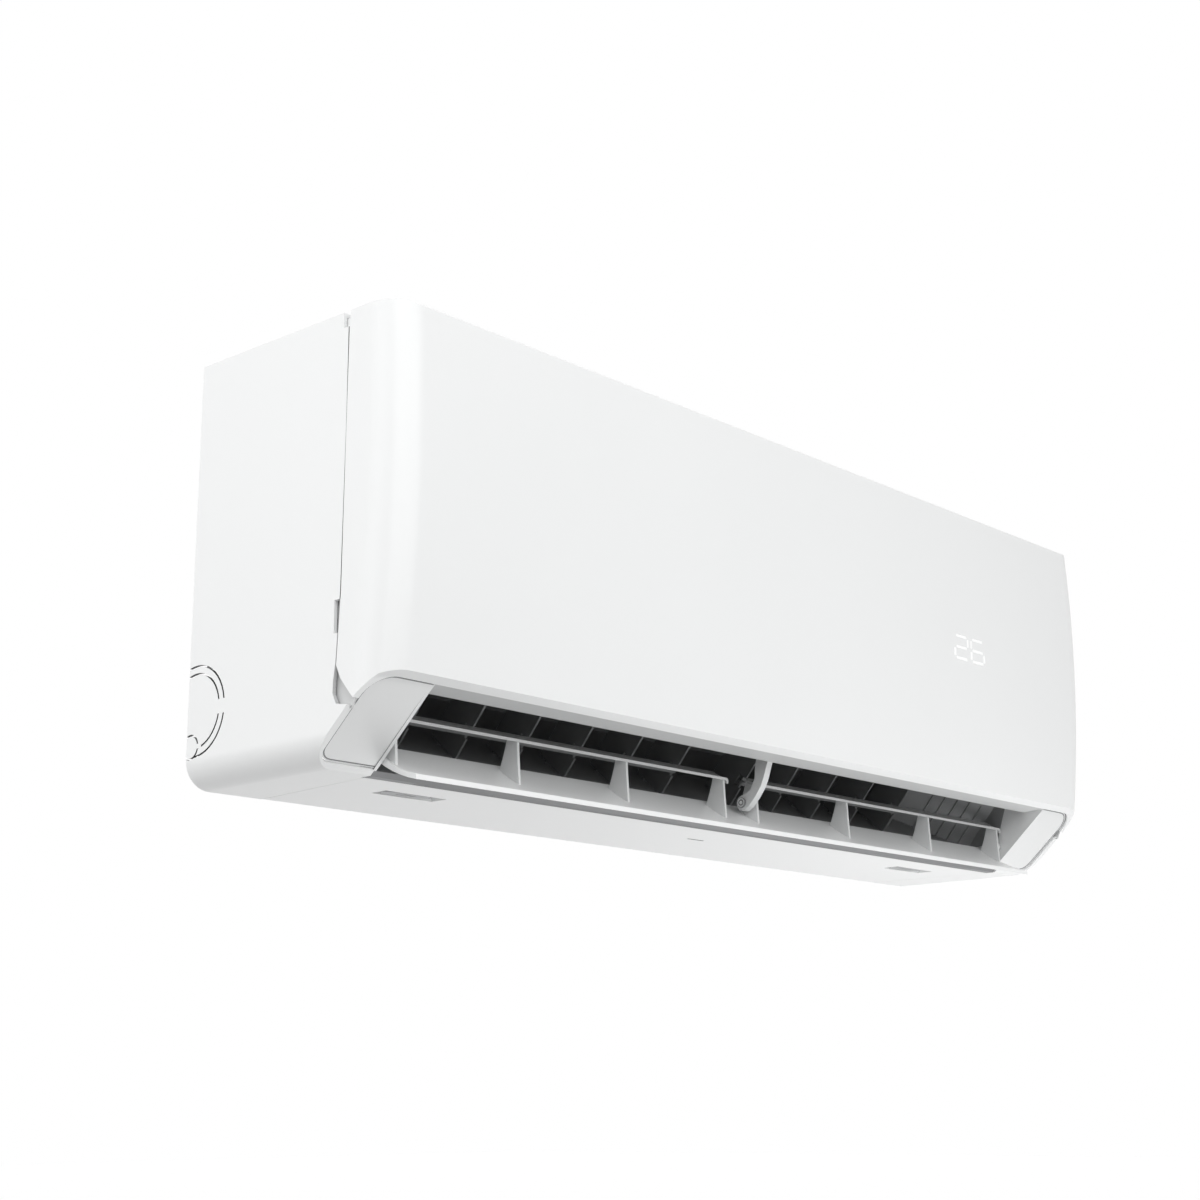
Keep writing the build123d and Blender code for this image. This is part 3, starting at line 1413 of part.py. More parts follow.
with BuildPart() as manual_button:
    with BuildSketch(Plane.XZ.offset(-box_front_y - 2.0)) as button_stem:
        with Locations((button_x, underside_z + button_h)):
            Circle(button_radius)
    extrude(button_stem.sketch, amount=2.0 + lid_thickness + button_travel + 0.5)
    with BuildSketch(Plane.XZ.offset(-box_front_y - 2.0)) as button_flange:
        with Locations((button_x, underside_z + button_h)):
            Circle(button_radius + 1.5)
    extrude(button_flange.sketch, amount=1.7)
manual_button.part.label = "manual_button"
export_step(manual_button.part, "parts/manual_button.step")

board_thickness = 1.6
with BuildPart() as control_board:
    bar_between(
        box_left + box_wall + 0.3,
        box_right - box_wall - 0.3,
        box_rear_y - box_wall - 5.0,
        box_rear_y - box_wall - 5.0 + board_thickness,
        box_low_h + box_wall + 0.3,
        box_high_h - box_wall - 0.3,
    )
    for part_x, part_h, part_size, part_rise in (
        (box_left + 20.0, box_low_h + 22.0, 22.0, 24.0),
        (box_left + 53.0, box_low_h + 17.0, 16.0, 14.0),
        (box_left + 48.0, box_low_h + 57.0, 26.0, 10.0),
        (box_left + 16.0, box_low_h + 62.0, 12.0, 18.0),
    ):
        bar_between(
            part_x - part_size / 2,
            part_x + part_size / 2,
            box_rear_y - box_wall - 5.0 - part_rise,
            box_rear_y - box_wall - 4.5,
            part_h - part_size / 2,
            part_h + part_size / 2,
        )
control_board.part.label = "control_board"
export_step(control_board.part, "parts/control_board.step")

with BuildPart() as terminal_block:
    bar_between(box_right - 34.0, box_right, -160.0, -132.0, 118.0, box_low_h - 0.3)
    for index in range(4):
        bar_between(
            box_right - 32.0 + index * 8.0,
            box_right - 26.0 + index * 8.0,
            -161.0,
            -152.0,
            124.0,
            146.0,
        )
        screw_mid = box_right - 29.0 + index * 8.0
        with BuildSketch(Plane.XZ.offset(158.0)) as screw_hole:
            with Locations((screw_mid, underside_z + 135.0)):
                Circle(2.0)
        extrude(screw_hole.sketch, amount=5.0, mode=Mode.SUBTRACT)
terminal_block.part.label = "terminal_block"
export_step(terminal_block.part, "parts/terminal_block.step")

# ---------------------------------------------------------------- display
display_left = half_width - 205.0
display_width = 60.0
display_right = display_left + display_width
display_low_h = 146.0
display_high_h = 173.0
display_depth = 4.0
display_seat_y = face_mid_y + shell_wall + 0.9
with BuildPart() as display_housing:
    bar_between(
        display_left,
        display_right,
        display_seat_y,
        display_seat_y + display_depth,
        display_low_h,
        display_high_h,
    )
display_housing.part.label = "display_housing"
export_step(display_housing.part, "parts/display_housing.step")

# ---------------------------------------------------------------- refrigerant pipes
gas_radius = 6.35
liquid_radius = 3.2
pipe_start_x = coil_right + 19.0
pipe_end_x = -60.0
pipe_drop_y = -23.0
pipe_channel_h = 34.0
pipe_bend = 16.0
pipe_sides = 10
nut_length = 22.0
pipe_runs = (
    ("gas_pipe", gas_radius, pipe_drop_y, pipe_start_x, pipe_channel_h, pipe_end_x),
    (
        "liquid_pipe",
        liquid_radius,
        pipe_drop_y - 1.0,
        pipe_start_x - 16.0,
        pipe_channel_h + 18.0,
        pipe_end_x + 20.0,
    ),
)
for pipe_name, pipe_radius, pipe_y, pipe_x, channel_h, pipe_stop in pipe_runs:
    with BuildPart() as pipe:
        with BuildLine() as pipe_line:
            FilletPolyline(
                (pipe_x, pipe_y, underside_z + 150.0),
                (pipe_x, pipe_y, underside_z + channel_h),
                (pipe_stop, pipe_y, underside_z + channel_h),
                radius=pipe_bend,
            )
        with BuildSketch(Plane(pipe_line.line @ 0, z_dir=pipe_line.line % 0)):
            RegularPolygon(pipe_radius, pipe_sides)
            RegularPolygon(pipe_radius - 1.0, pipe_sides, mode=Mode.SUBTRACT)
        sweep()
    pipe.part.label = pipe_name
    export_step(pipe.part, "parts/" + pipe_name + ".step")

with BuildPart() as flare_nuts:
    for pipe_name, pipe_radius, pipe_y, pipe_x, channel_h, pipe_stop in pipe_runs:
        with BuildSketch(side_plane(pipe_stop - nut_length / 2)) as nut:
            with Locations((pipe_y, channel_h)):
                RegularPolygon(pipe_radius + 5.0, 6)
                Circle(pipe_radius + 0.05, mode=Mode.SUBTRACT)
        extrude(nut.sketch, amount=nut_length)
flare_nuts.part.label = "flare_nuts"
export_step(flare_nuts.part, "parts/flare_nuts.step")

# clamp that ties both pipes to the chassis
clamp_low_h = 98.0
clamp_high_h = 108.0
with BuildPart() as pipe_clamp:
    bar_between(
        pipe_start_x - 28.0,
        pipe_start_x + 12.0,
        pipe_drop_y - 8.5,
        back_wall_y - chassis_wall - 0.3,
        clamp_low_h,
        clamp_high_h,
    )
    with BuildSketch(level(clamp_low_h - 1.0)) as pipe_holes:
        for pipe_name, pipe_radius, pipe_y, pipe_x, channel_h, pipe_stop in pipe_runs:
            with Locations((pipe_x, pipe_y)):
                Circle(pipe_radius + 0.1)
    extrude(pipe_holes.sketch, amount=clamp_high_h - clamp_low_h + 2.0, mode=Mode.SUBTRACT)
pipe_clamp.part.label = "pipe_clamp"
export_step(pipe_clamp.part, "parts/pipe_clamp.step")
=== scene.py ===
import json
import math

import bpy
from mathutils import Matrix, Vector

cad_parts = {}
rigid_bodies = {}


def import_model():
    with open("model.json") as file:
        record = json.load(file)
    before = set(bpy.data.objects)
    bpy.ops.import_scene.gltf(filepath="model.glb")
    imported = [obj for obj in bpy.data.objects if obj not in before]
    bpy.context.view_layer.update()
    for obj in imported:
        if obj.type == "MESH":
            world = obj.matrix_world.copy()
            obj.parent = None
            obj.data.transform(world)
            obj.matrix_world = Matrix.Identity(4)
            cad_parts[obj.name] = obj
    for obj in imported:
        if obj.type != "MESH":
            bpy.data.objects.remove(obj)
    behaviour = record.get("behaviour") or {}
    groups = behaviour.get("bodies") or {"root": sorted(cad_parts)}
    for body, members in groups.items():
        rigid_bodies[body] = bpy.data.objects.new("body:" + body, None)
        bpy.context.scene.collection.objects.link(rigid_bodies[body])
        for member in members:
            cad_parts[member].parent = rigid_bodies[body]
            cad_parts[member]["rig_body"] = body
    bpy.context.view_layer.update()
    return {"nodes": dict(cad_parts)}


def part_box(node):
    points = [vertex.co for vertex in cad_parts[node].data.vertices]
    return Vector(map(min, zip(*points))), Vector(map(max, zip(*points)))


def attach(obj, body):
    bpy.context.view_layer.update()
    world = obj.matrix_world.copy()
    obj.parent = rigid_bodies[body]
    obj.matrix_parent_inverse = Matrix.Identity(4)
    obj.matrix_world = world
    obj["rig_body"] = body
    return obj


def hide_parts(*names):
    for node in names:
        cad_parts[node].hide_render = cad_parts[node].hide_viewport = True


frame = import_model()
nodes = frame["nodes"]

# ---------------------------------------------------------------- wall plate
# Pressed plate of hot-dip zinc-coated steel, screwed to the wall; the unit hangs on its hooks.
# Zinc freezes in large crystals, so the eye sees patches that shine at different angles.


def colour(hex_code):
    """sRGB hex colour as the linear RGBA that a shader wants."""
    channels = [int(hex_code[i : i + 2], 16) / 255 for i in (1, 3, 5)]
    linear = [c / 12.92 if c <= 0.04045 else ((c + 0.055) / 1.055) ** 2.4 for c in channels]
    return (*linear, 1.0)


def add_node(material, kind, settings=None, links=None):
    """Adds a shader node; settings are its inputs or properties, links its incoming wires."""
    node = material.node_tree.nodes.new(kind)
    for name, value in (settings or {}).items():
        if isinstance(name, int) or name in node.inputs:
            node.inputs[name].default_value = value
        else:
            setattr(node, name, value)
    for name, source in (links or {}).items():
        material.node_tree.links.new(source, node.inputs[name])
    return node


def new_finish(name, **sockets):
    """Empty material with a Principled shader whose constant sockets are set."""
    material = bpy.data.materials.new(name)
    material.use_nodes = True
    shader = material.node_tree.nodes["Principled BSDF"]
    for socket, value in sockets.items():
        shader.inputs[socket.replace("_", " ")].default_value = value
    place = add_node(material, "ShaderNodeTexCoord")
    return material, shader, place.outputs["Object"]


def blend_colours(material, factor, first, second):
    """Mixes two sRGB hex colours by a factor output."""
    mix = add_node(material, "ShaderNodeMix", {"data_type": "RGBA"})
    mix.inputs["A"].default_value = colour(first)
    mix.inputs["B"].default_value = colour(second)
    material.node_tree.links.new(factor, mix.inputs["Factor"])
    return mix.outputs["Result"]


def wire(material, source, shader, socket):
    """Joins an output to a socket of the shader."""
    material.node_tree.links.new(source, shader.inputs[socket])


def per_metre(size_mm):
    """Scale of a pattern whose features are this far apart, as a whole number."""
    return float(round(1000 / size_mm))


def finer(name, material, edge_mm=0.3, angle=28.0, segments=2):
    """Copy of a moulded or pressed piece with small edge radii and smooth faces, in its place."""
    merge_distance = 0.00001
    flat_angle = math.radians(0.4)
    source = nodes[name]
    piece = bpy.data.objects.new("fine_" + name, source.data.copy())
    bpy.context.scene.collection.objects.link(piece)
    piece.data.materials.clear()
    piece.data.materials.append(material)
    bpy.ops.object.select_all(action="DESELECT")
    piece.select_set(True)
    bpy.context.view_layer.objects.active = piece
    bpy.ops.object.mode_set(mode="EDIT")
    bpy.ops.mesh.select_all(action="SELECT")
    bpy.ops.mesh.remove_doubles(threshold=merge_distance)
    bpy.ops.mesh.dissolve_limited(angle_limit=flat_angle)
    bpy.ops.object.mode_set(mode="OBJECT")
    if edge_mm:
        bevel = piece.modifiers.new("edges", "BEVEL")
        bevel.width = edge_mm / 1000.0
        bevel.segments = segments
        bevel.limit_method = "ANGLE"
        bevel.angle_limit = math.radians(angle)
        bevel.use_clamp_overlap = True
        bpy.ops.object.modifier_apply(modifier="edges")
    bpy.ops.object.shade_smooth_by_angle(angle=math.radians(angle))
    flats = piece.modifiers.new("flats", "WEIGHTED_NORMAL")
    flats.keep_sharp = True
    bpy.ops.object.modifier_apply(modifier="flats")
    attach(piece, source["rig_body"])
    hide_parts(name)
    return piece


# Hot-dip zinc: flat crystals about a centimetre wide, each with its own grey and its own shine.
crystal_mm = 11.1
zinc, shader, here = new_finish("zinc_coated_steel", Metallic=1.0, Roughness=0.42)
crystals = add_node(
    zinc,
    "ShaderNodeTexVoronoi",
    {"Scale": per_metre(crystal_mm)},
    {"Vector": here},
)
zinc_tone = blend_colours(zinc, crystals.outputs["Color"], "#9aa0a2", "#b9bec0")
wire(zinc, zinc_tone, shader, "Base Color")
gloss = add_node(
    zinc,
    "ShaderNodeMapRange",
    {"To Min": 0.32, "To Max": 0.5},
    {"Value": crystals.outputs["Distance"]},
)
wire(zinc, gloss.outputs["Result"], shader, "Roughness")
finer("wall_plate", zinc, 0.25)

# ---------------------------------------------------------------- rear chassis
# Injection-moulded dark grey polystyrene with a fine spark-eroded grain: back wall, scroll and
# bulkheads in one.


def moulded(name, tone, shade, roughness, grain_mm, depth_mm, **sockets):
    """Moulded plastic: slow drift between two tones and an etched grain of a real size."""
    flow_mm = 200
    material, shader, here = new_finish(name, Roughness=roughness, **sockets)
    drift = add_node(
        material,
        "ShaderNodeTexNoise",
        {"Scale": per_metre(flow_mm), "Detail": 2.0},
        {"Vector": here},
    )
    wire(material, blend_colours(material, drift.outputs["Fac"], tone, shade), shader, "Base Color")
    grain = add_node(
        material,
        "ShaderNodeTexNoise",
        {"Scale": 1000.0 / grain_mm, "Detail": 2.0},
        {"Vector": here},
    )
    relief = add_node(
        material,
        "ShaderNodeBump",
        {"Strength": 0.35, "Distance": depth_mm / 1000.0},
        {"Height": grain.outputs["Fac"]},
    )
    wire(material, relief.outputs["Normal"], shader, "Normal")
    sheen = add_node(
        material,
        "ShaderNodeMapRange",
        {"To Min": roughness - 0.04, "To Max": roughness + 0.06},
        {"Value": drift.outputs["Fac"]},
    )
    wire(material, sheen.outputs["Result"], shader, "Roughness")
    return material


# Dark styrene: dull, with the drift of tone that a large moulding keeps from the flow of its melt.
# Its grey is paler than the real plastic's: painted light, so that the shaded inside of the duct is
# not too dark.
dark_styrene = moulded("dark_grey_polystyrene", "#7c7d7e", "#848586", 0.5, 0.8, 0.05, IOR=1.59)
finer("rear_chassis", dark_styrene, 0.3)
finer("pipe_clamp", dark_styrene, 0.4)

# ---------------------------------------------------------------- fan and its motor
# Cross-flow wheel of glass-filled black plastic on ground steel shafts; a rubber-cased bearing
# carries its left end, a pressed steel motor its right.

# Glass-filled plastic: dark, greyed by the fibres at its surface.
glass_filled = moulded("glass_filled_plastic", "#4c4d4e", "#545556", 0.45, 0.6, 0.04)
finer("fan_wheel", glass_filled, 0.0, 20.0)

# Ground steel: bright, with the fine uneven marks of the wheel.
grinding_mm = 2.5
ground_steel, shader, here = new_finish("ground_steel", Metallic=1.0, Roughness=0.3)
grinding = add_node(
    ground_steel,
    "ShaderNodeTexNoise",
    {"Scale": per_metre(grinding_mm), "Detail": 3.0},
    {"Vector": here},
)
steel_tone = blend_colours(ground_steel, grinding.outputs["Fac"], "#8d9092", "#b3b6b8")
wire(ground_steel, steel_tone, shader, "Base Color")
finer("fan_stub_shaft", ground_steel, 0.0)
finer("motor_shaft", ground_steel, 0.3)

# Nitrile rubber: black and matt.
nitrile = moulded("nitrile_rubber", "#161616", "#1f1f1f", 0.7, 0.5, 0.03)
finer("fan_bearing", nitrile, 0.5)

# Zinc-plated steel can: pale, half bright and nearly even.
motor_can = moulded("zinc_plated_can", "#b7bab9", "#c8cbca", 0.4, 1.5, 0.02, Metallic=0.85)
finer("fan_motor", motor_can, 1.0)
finer("motor_clamp", zinc, 0.3)

# ---------------------------------------------------------------- evaporator
# Stacks of thin aluminium fins on copper tube, between two zinc-coated end plates. The slots in
# the stacks stand for some of the gaps, and the finish draws the fins between the slots.

# Bare fin stock: bright bluish edges, with the gaps between them darkened as painted shade. Real
# fins stand 1.4 mm apart; here six pitches fill the space between two of the coil's slots, so that
# they show.
coil_low, coil_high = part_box("evaporator_front_lower")
coil_slots = 36
pitches_a_slot = 6
fin_pitch = (coil_high[0] - coil_low[0]) / coil_slots / pitches_a_slot
wave_length = 0.314159  # metres from band to band of a wave pattern at scale 1
fin_stock, shader, here = new_finish("fin_aluminium", Metallic=1.0, Roughness=0.38)
stripes = add_node(
    fin_stock,
    "ShaderNodeTexWave",
    {"Scale": wave_length / fin_pitch, "wave_type": "BANDS", "bands_direction": "X"},
    {"Vector": here},
)
fin_tone = blend_colours(fin_stock, stripes.outputs["Fac"], "#7d868c", "#c4cbd0")
wire(fin_stock, fin_tone, shader, "Base Color")
relief = add_node(
    fin_stock,
    "ShaderNodeBump",
    {"Strength": 0.6, "Distance": 0.0008},
    {"Height": stripes.outputs["Fac"]},
)
wire(fin_stock, relief.outputs["Normal"], shader, "Normal")
for coil in ("evaporator_front_lower", "evaporator_front_upper", "evaporator_rear"):
    finer(coil, fin_stock, 0.0)
finer("evaporator_plates", zinc, 0.2)

# ---------------------------------------------------------------- tube bends and pipes
# Copper U-bends brazed on the right end of the coil, and two drawn copper pipes led down to the
# channel behind the unit, where they end in brass flare nuts.

# Drawn copper: bright, and darker in patches where its oxide has grown.
tarnish_mm = 33.3
copper, shader, here = new_finish("drawn_copper", Metallic=1.0, Roughness=0.3)
tarnish = add_node(
    copper,
    "ShaderNodeTexNoise",
    {"Scale": per_metre(tarnish_mm), "Detail": 4.0},
    {"Vector": here},
)
copper_tone = blend_colours(copper, tarnish.outputs["Fac"], "#a8603c", "#d18e66")
wire(copper, copper_tone, shader, "Base Color")
for tube in ("tube_bends", "gas_pipe", "liquid_pipe"):
    finer(tube, copper, 0.0, 70.0)

# Forged brass: yellow, with the mottle of the die.
mottle_mm = 8.33
brass, shader, here = new_finish("forged_brass", Metallic=1.0, Roughness=0.35)
forging = add_node(
    brass,
    "ShaderNodeTexNoise",
    {"Scale": per_metre(mottle_mm), "Detail": 3.0},
    {"Vector": here},
)
brass_tone = blend_colours(brass, forging.outputs["Fac"], "#b08a3e", "#cfae62")
wire(brass, brass_tone, shader, "Base Color")
finer("flare_nuts", brass, 0.6)

# ---------------------------------------------------------------- drip tray
# Moulded polystyrene gutter under the coil. A spigot drains its right end, and a rubber plug
# closes its left.

# Grey styrene: pale and a little shiny.
grey_styrene = moulded("grey_polystyrene", "#c9cbcb", "#d3d5d5", 0.45, 0.8, 0.04, IOR=1.59)
finer("drip_tray", grey_styrene, 0.3)
finer("drain_spigot", grey_styrene, 0.3)
finer("drain_plug", nitrile, 0.4)

# ---------------------------------------------------------------- outlet frame
# One pale grey ABS moulding: end panels, lips and the duct between them. Its outer plane leans
# 41 degrees, from the upper lip down and back to the lower lip.

# Pale ABS with a fine etched grain, which takes the shine off the end panels.
grey_abs = moulded("pale_grey_abs", "#e6e7e7", "#eaebeb", 0.42, 0.9, 0.03)
# The same plastic in the duct behind the lips, darkened as painted shade, since little light gets
# in.
duct_shade = moulded("duct_shade_abs", "#8e8f90", "#969798", 0.5, 0.9, 0.03)
# Grooved lower lip and narrow gap round the end panels, darkened as painted shade so that they read
# as dark lines.
seam_shade = moulded("seam_shade_abs", "#77787a", "#7e7f80", 0.5, 0.9, 0.03)
# Upper lip and the louver's blades, darkened as painted shade.
shaded_grey = moulded("shaded_grey_abs", "#c8c9c9", "#cecfcf", 0.42, 0.9, 0.03)

outlet_frame = finer("outlet_frame", grey_abs, 0.3)
for material in (duct_shade, seam_shade, shaded_grey):
    outlet_frame.data.materials.append(material)
duct_shade_index, seam_shade_index, shade_index = 1, 2, 3

lean = math.radians(41.0)
lip_line = Vector((0.0, -0.1685, -0.1016))
inward = Vector((0.0, math.sin(lean), math.cos(lean)))
lip_depth = 0.0125
rim_depth = 0.0027
mouth_half_width = 0.346
upper_lip_bottom = -0.115
groove_front, groove_back, groove_top = -0.119, -0.1075, -0.1470
for face in outlet_frame.data.polygons:
    depth = (face.center - lip_line).dot(inward)
    in_mouth = abs(face.center.x) < mouth_half_width
    on_groove = groove_front < face.center.y < groove_back and face.center.z < groove_top
    # Faces of the upper lip take the painted shade.
    if depth < lip_depth and face.center.z > upper_lip_bottom and in_mouth:
        face.material_index = shade_index
    # Faces deep in the duct take the painted shade.
    if depth > lip_depth:
        face.material_index = duct_shade_index
    # The lower lip's grooves and the rims round the end panels take the dark painted shade.
    if on_groove and in_mouth:
        face.material_index = seam_shade_index
    on_rim = depth < rim_depth and abs(face.normal.dot(inward)) < 0.3
    if on_rim and abs(face.center.x) > mouth_half_width:
        face.material_index = seam_shade_index

# A thin dark strip of painted shade runs round the end panels, just inside the bezel, and along the
# upper lip. Its line is laid out on the outlet plane: x across, and run down the slope from the
# upper lip.
down_slope = Vector((0.0, inward.z, -inward.y))
shade_strip_inset = 0.0013
shade_strip_half_width = 0.0004
shade_strip_height = 0.0004
panel_outer, panel_inner, panel_run = 0.3895, 0.3440, 0.0670
upper_radius, lower_radius = 0.018, 0.010
proud, sunk = -0.00015, 0.0006
lip_end = 0.3425
corner_steps = 6
shade_strip_path = [(-panel_inner, panel_run - shade_strip_inset, 0.0, 1.0, proud)]


def shade_strip_corner(mid_x, mid_run, radius, first, last):
    """Adds a quarter turn of the painted shade strip, as places and outward directions on the
    outlet plane.
    """
    for step in range(corner_steps + 1):
        turn = math.radians(first + (last - first) * step / corner_steps)
        out_x, out_run = math.cos(turn), -math.sin(turn)
        reach = radius - shade_strip_inset
        x, run = mid_x + out_x * reach, mid_run + out_run * reach
        shade_strip_path.append((x, run, out_x, out_run, proud))


shade_strip_corner(lower_radius - panel_outer, panel_run - lower_radius, lower_radius, 270.0, 180.0)
shade_strip_corner(upper_radius - panel_outer, upper_radius, upper_radius, 180.0, 90.0)
for x, sink in ((-panel_inner, proud), (-lip_end, sunk), (lip_end, sunk), (panel_inner, proud)):
    shade_strip_path.append((x, shade_strip_inset, 0.0, -1.0, sink))
shade_strip_corner(panel_outer - upper_radius, upper_radius, upper_radius, 90.0, 0.0)
shade_strip_corner(panel_outer - lower_radius, panel_run - lower_radius, lower_radius, 0.0, -90.0)
shade_strip_path.append((panel_inner, panel_run - shade_strip_inset, 0.0, 1.0, proud))

# Every place on the line carries the same flat section, and each section is joined to the next.
shade_strip_section = (
    (-shade_strip_half_width, 0.0),
    (shade_strip_half_width, 0.0),
    (shade_strip_half_width, shade_strip_height),
    (-shade_strip_half_width, shade_strip_height),
)
shade_strip_points = []
for x, run, out_x, out_run, sink in shade_strip_path:
    for offset, depth in shade_strip_section:
        place = lip_line + down_slope * (run + out_run * offset) + inward * (sink + depth)
        shade_strip_points.append((x + out_x * offset, place.y, place.z))
shade_strip_faces = [(0, 1, 2, 3)]
for index in range(len(shade_strip_path) - 1):
    near, far = 4 * index, 4 * index + 4
    for corner in range(4):
        after = (corner + 1) % 4
        shade_strip_faces.append((near + corner, near + after, far + after, far + corner))
shade_strip_faces.append((far, far + 1, far + 2, far + 3))
bpy.ops.mesh.primitive_plane_add(size=0.01)
shade_strip = bpy.context.object
shade_strip.name = "frame_shade_strip"
shade_strip.data.clear_geometry()
shade_strip.data.from_pydata(shade_strip_points, [], shade_strip_faces)
bpy.ops.object.mode_set(mode="EDIT")
bpy.ops.mesh.select_all(action="SELECT")
bpy.ops.mesh.normals_make_consistent(inside=False)
bpy.ops.object.mode_set(mode="OBJECT")
shade_strip.data.materials.append(seam_shade)
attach(shade_strip, nodes["outlet_frame"]["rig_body"])

# ---------------------------------------------------------------- air vanes
# Eleven upright blades of grey ABS, darkened as painted shade, snapped into the duct's floor. A
# link bar joins each half of the row, so that its blades turn together.

# Grey ABS with the frame's etched grain: matt, and darkened as painted shade so that the duct looks
# deep.
vane_shaded_abs = moulded("vane_grey_abs", "#757677", "#7d7e7f", 0.45, 0.9, 0.03)
for name in sorted(nodes):
    if name.startswith("vane_"):
        finer(name, vane_shaded_abs, 0.3)

# ---------------------------------------------------------------- louver
# Curved white ABS flap with eight fins and two narrow blades. It hangs on a pinned arm at its
# middle and a bush at its left end, and a small motor turns it from the right.

# Satin white ABS: a duller face than the casing's.
flap_white = moulded("satin_white_abs", "#f1f2f2", "#f4f5f5", 0.36, 0.9, 0.02)
finer("louver", flap_white, 0.35)
finer("louver_fins", grey_abs, 0.3)

# The right end of each blade bends down over its last fin, a quarter turn in four steps.
# The blades take the painted shade of the upper lip.
blades = finer("louver_blades", shaded_grey, 0.0)
blade_ends = sorted({round(vertex.co.x, 4) for vertex in blades.data.vertices})
blade_slope = Vector((0.0, 0.0125, 0.0060)).normalized()
bend_y, bend_z = -0.11966, -0.11545
bend_steps = 4
bend = Matrix.Rotation(math.radians(90.0 / bend_steps), 3, blade_slope)
bpy.ops.object.select_all(action="DESELECT")
blades.select_set(True)
bpy.context.view_layer.objects.active = blades
for end_x in (blade_ends[1], blade_ends[3]):
    bend_centre = Vector((end_x, bend_y, bend_z))
    bpy.ops.object.mode_set(mode="EDIT")
    bpy.ops.mesh.select_mode(type="FACE")
    bpy.ops.mesh.select_all(action="DESELECT")
    bpy.ops.object.mode_set(mode="OBJECT")
    for face in blades.data.polygons:
        face.select = face.normal.x > 0.9 and abs(face.center.x - end_x) < 0.0005
    for step in range(bend_steps):
        bpy.ops.object.mode_set(mode="EDIT")
        bpy.ops.mesh.extrude_region_move(TRANSFORM_OT_translate={"value": (0, 0, 0)})
        bpy.ops.object.mode_set(mode="OBJECT")
        for vertex in blades.data.vertices:
            if vertex.select:
                vertex.co = bend_centre + bend @ (vertex.co - bend_centre)
bpy.ops.object.shade_smooth_by_angle(angle=math.radians(30))

finer("louver_arm", grey_abs, 0.5)
finer("louver_bush", grey_abs, 0.3)

# Turned plastic pin: its head is painted with dark rings of shade round a bright centre.
pin_y, pin_z = -0.122, -0.1293
pin_head_radius = 0.0036
turned_pin, shader, here = new_finish("turned_pin", Roughness=0.35)
from_axis = add_node(turned_pin, "ShaderNodeVectorMath", {"operation": "MULTIPLY_ADD"}, {0: here})
from_axis.inputs[1].default_value = (0.0, 1.0, 1.0)
from_axis.inputs[2].default_value = (0.0, -pin_y, -pin_z)
radius = add_node(
    turned_pin,
    "ShaderNodeVectorMath",
    {"operation": "LENGTH"},
    {0: from_axis.outputs["Vector"]},
)
ring_shading = add_node(turned_pin, "ShaderNodeValToRGB")
ring_shading.color_ramp.interpolation = "CONSTANT"
scaled = add_node(
    turned_pin,
    "ShaderNodeMapRange",
    {"From Min": 0.0, "From Max": pin_head_radius},
    {"Value": radius.outputs["Value"]},
)
turned_pin.node_tree.links.new(scaled.outputs["Result"], ring_shading.inputs["Fac"])
ring_shading.color_ramp.elements[0].color = colour("#f4f5f5")
ring_shading.color_ramp.elements[1].position = 0.38
ring_shading.color_ramp.elements[1].color = colour("#6e6f70")
outer_ring = ring_shading.color_ramp.elements.new(0.62)
outer_ring.color = colour("#e6e7e7")
rim = ring_shading.color_ramp.elements.new(0.88)
rim.color = colour("#7a7b7c")
wire(turned_pin, ring_shading.outputs["Color"], shader, "Base Color")
finer("louver_pin", turned_pin, 0.3)
finer("louver_motor", motor_can, 0.8)

# ---------------------------------------------------------------- electrical box
# Flame-retardant grey box at the right end with a screwed lid and a green laminate board in it,
# and a terminal block below it.
finer("electrical_box", grey_styrene, 0.5)
finer("electrical_lid", grey_styrene, 0.4)

# Solder-masked laminate: green, with tracks that show lighter through the mask.
track_mm = 6.25
laminate, shader, here = new_finish("solder_masked_laminate", Roughness=0.35)
tracks = add_node(laminate, "ShaderNodeTexBrick", {"Scale": per_metre(track_mm)}, {"Vector": here})
board_tone = blend_colours(laminate, tracks.outputs["Fac"], "#1d5a35", "#2f7a4a")
wire(laminate, board_tone, shader, "Base Color")
finer("control_board", laminate, 0.2)

# Phenolic moulding compound: dark, hard and slightly mottled.
phenolic = moulded("phenolic_block", "#3b3c3d", "#454647", 0.5, 0.7, 0.04)
finer("terminal_block", phenolic, 0.3)

# ---------------------------------------------------------------- air filters
# Two polypropylene frames with a woven net of fine dark thread between their bars. Each frame
# slides upwards.

# Dark polypropylene: slightly waxy.
filter_plastic = moulded("dark_polypropylene", "#3c4043", "#474b4e", 0.5, 0.8, 0.04, IOR=1.49)
# Woven net: dark threads, with the holes between them painted darker still as shade. Real threads
# stand
# 0.8 mm apart, drawn at 3.2 mm so that they show.
thread_pitch = 0.0032
net, shader, here = new_finish("woven_net", Roughness=0.7)
threads = []
for direction in ("X", "Z"):
    threads.append(
        add_node(
            net,
            "ShaderNodeTexWave",
            {"Scale": round(wave_length, 3) / thread_pitch, "bands_direction": direction},
            {"Vector": here},
        )
    )
weave = add_node(
    net,
    "ShaderNodeMath",
    {"operation": "MAXIMUM"},
    {0: threads[0].outputs["Fac"], 1: threads[1].outputs["Fac"]},
)
wire(net, blend_colours(net, weave.outputs[0], "#15181a", "#4a5257"), shader, "Base Color")
for side in ("left", "right"):
    finer("filter_frame_" + side, filter_plastic, 0.3)
    finer("filter_mesh_" + side, net, 0.0)

# ---------------------------------------------------------------- outer casing and top grille
# Glossy white ABS shell moulded round the unit, with a slotted knock-out in each side for the
# pipes and a grille in its top that lets the air in.

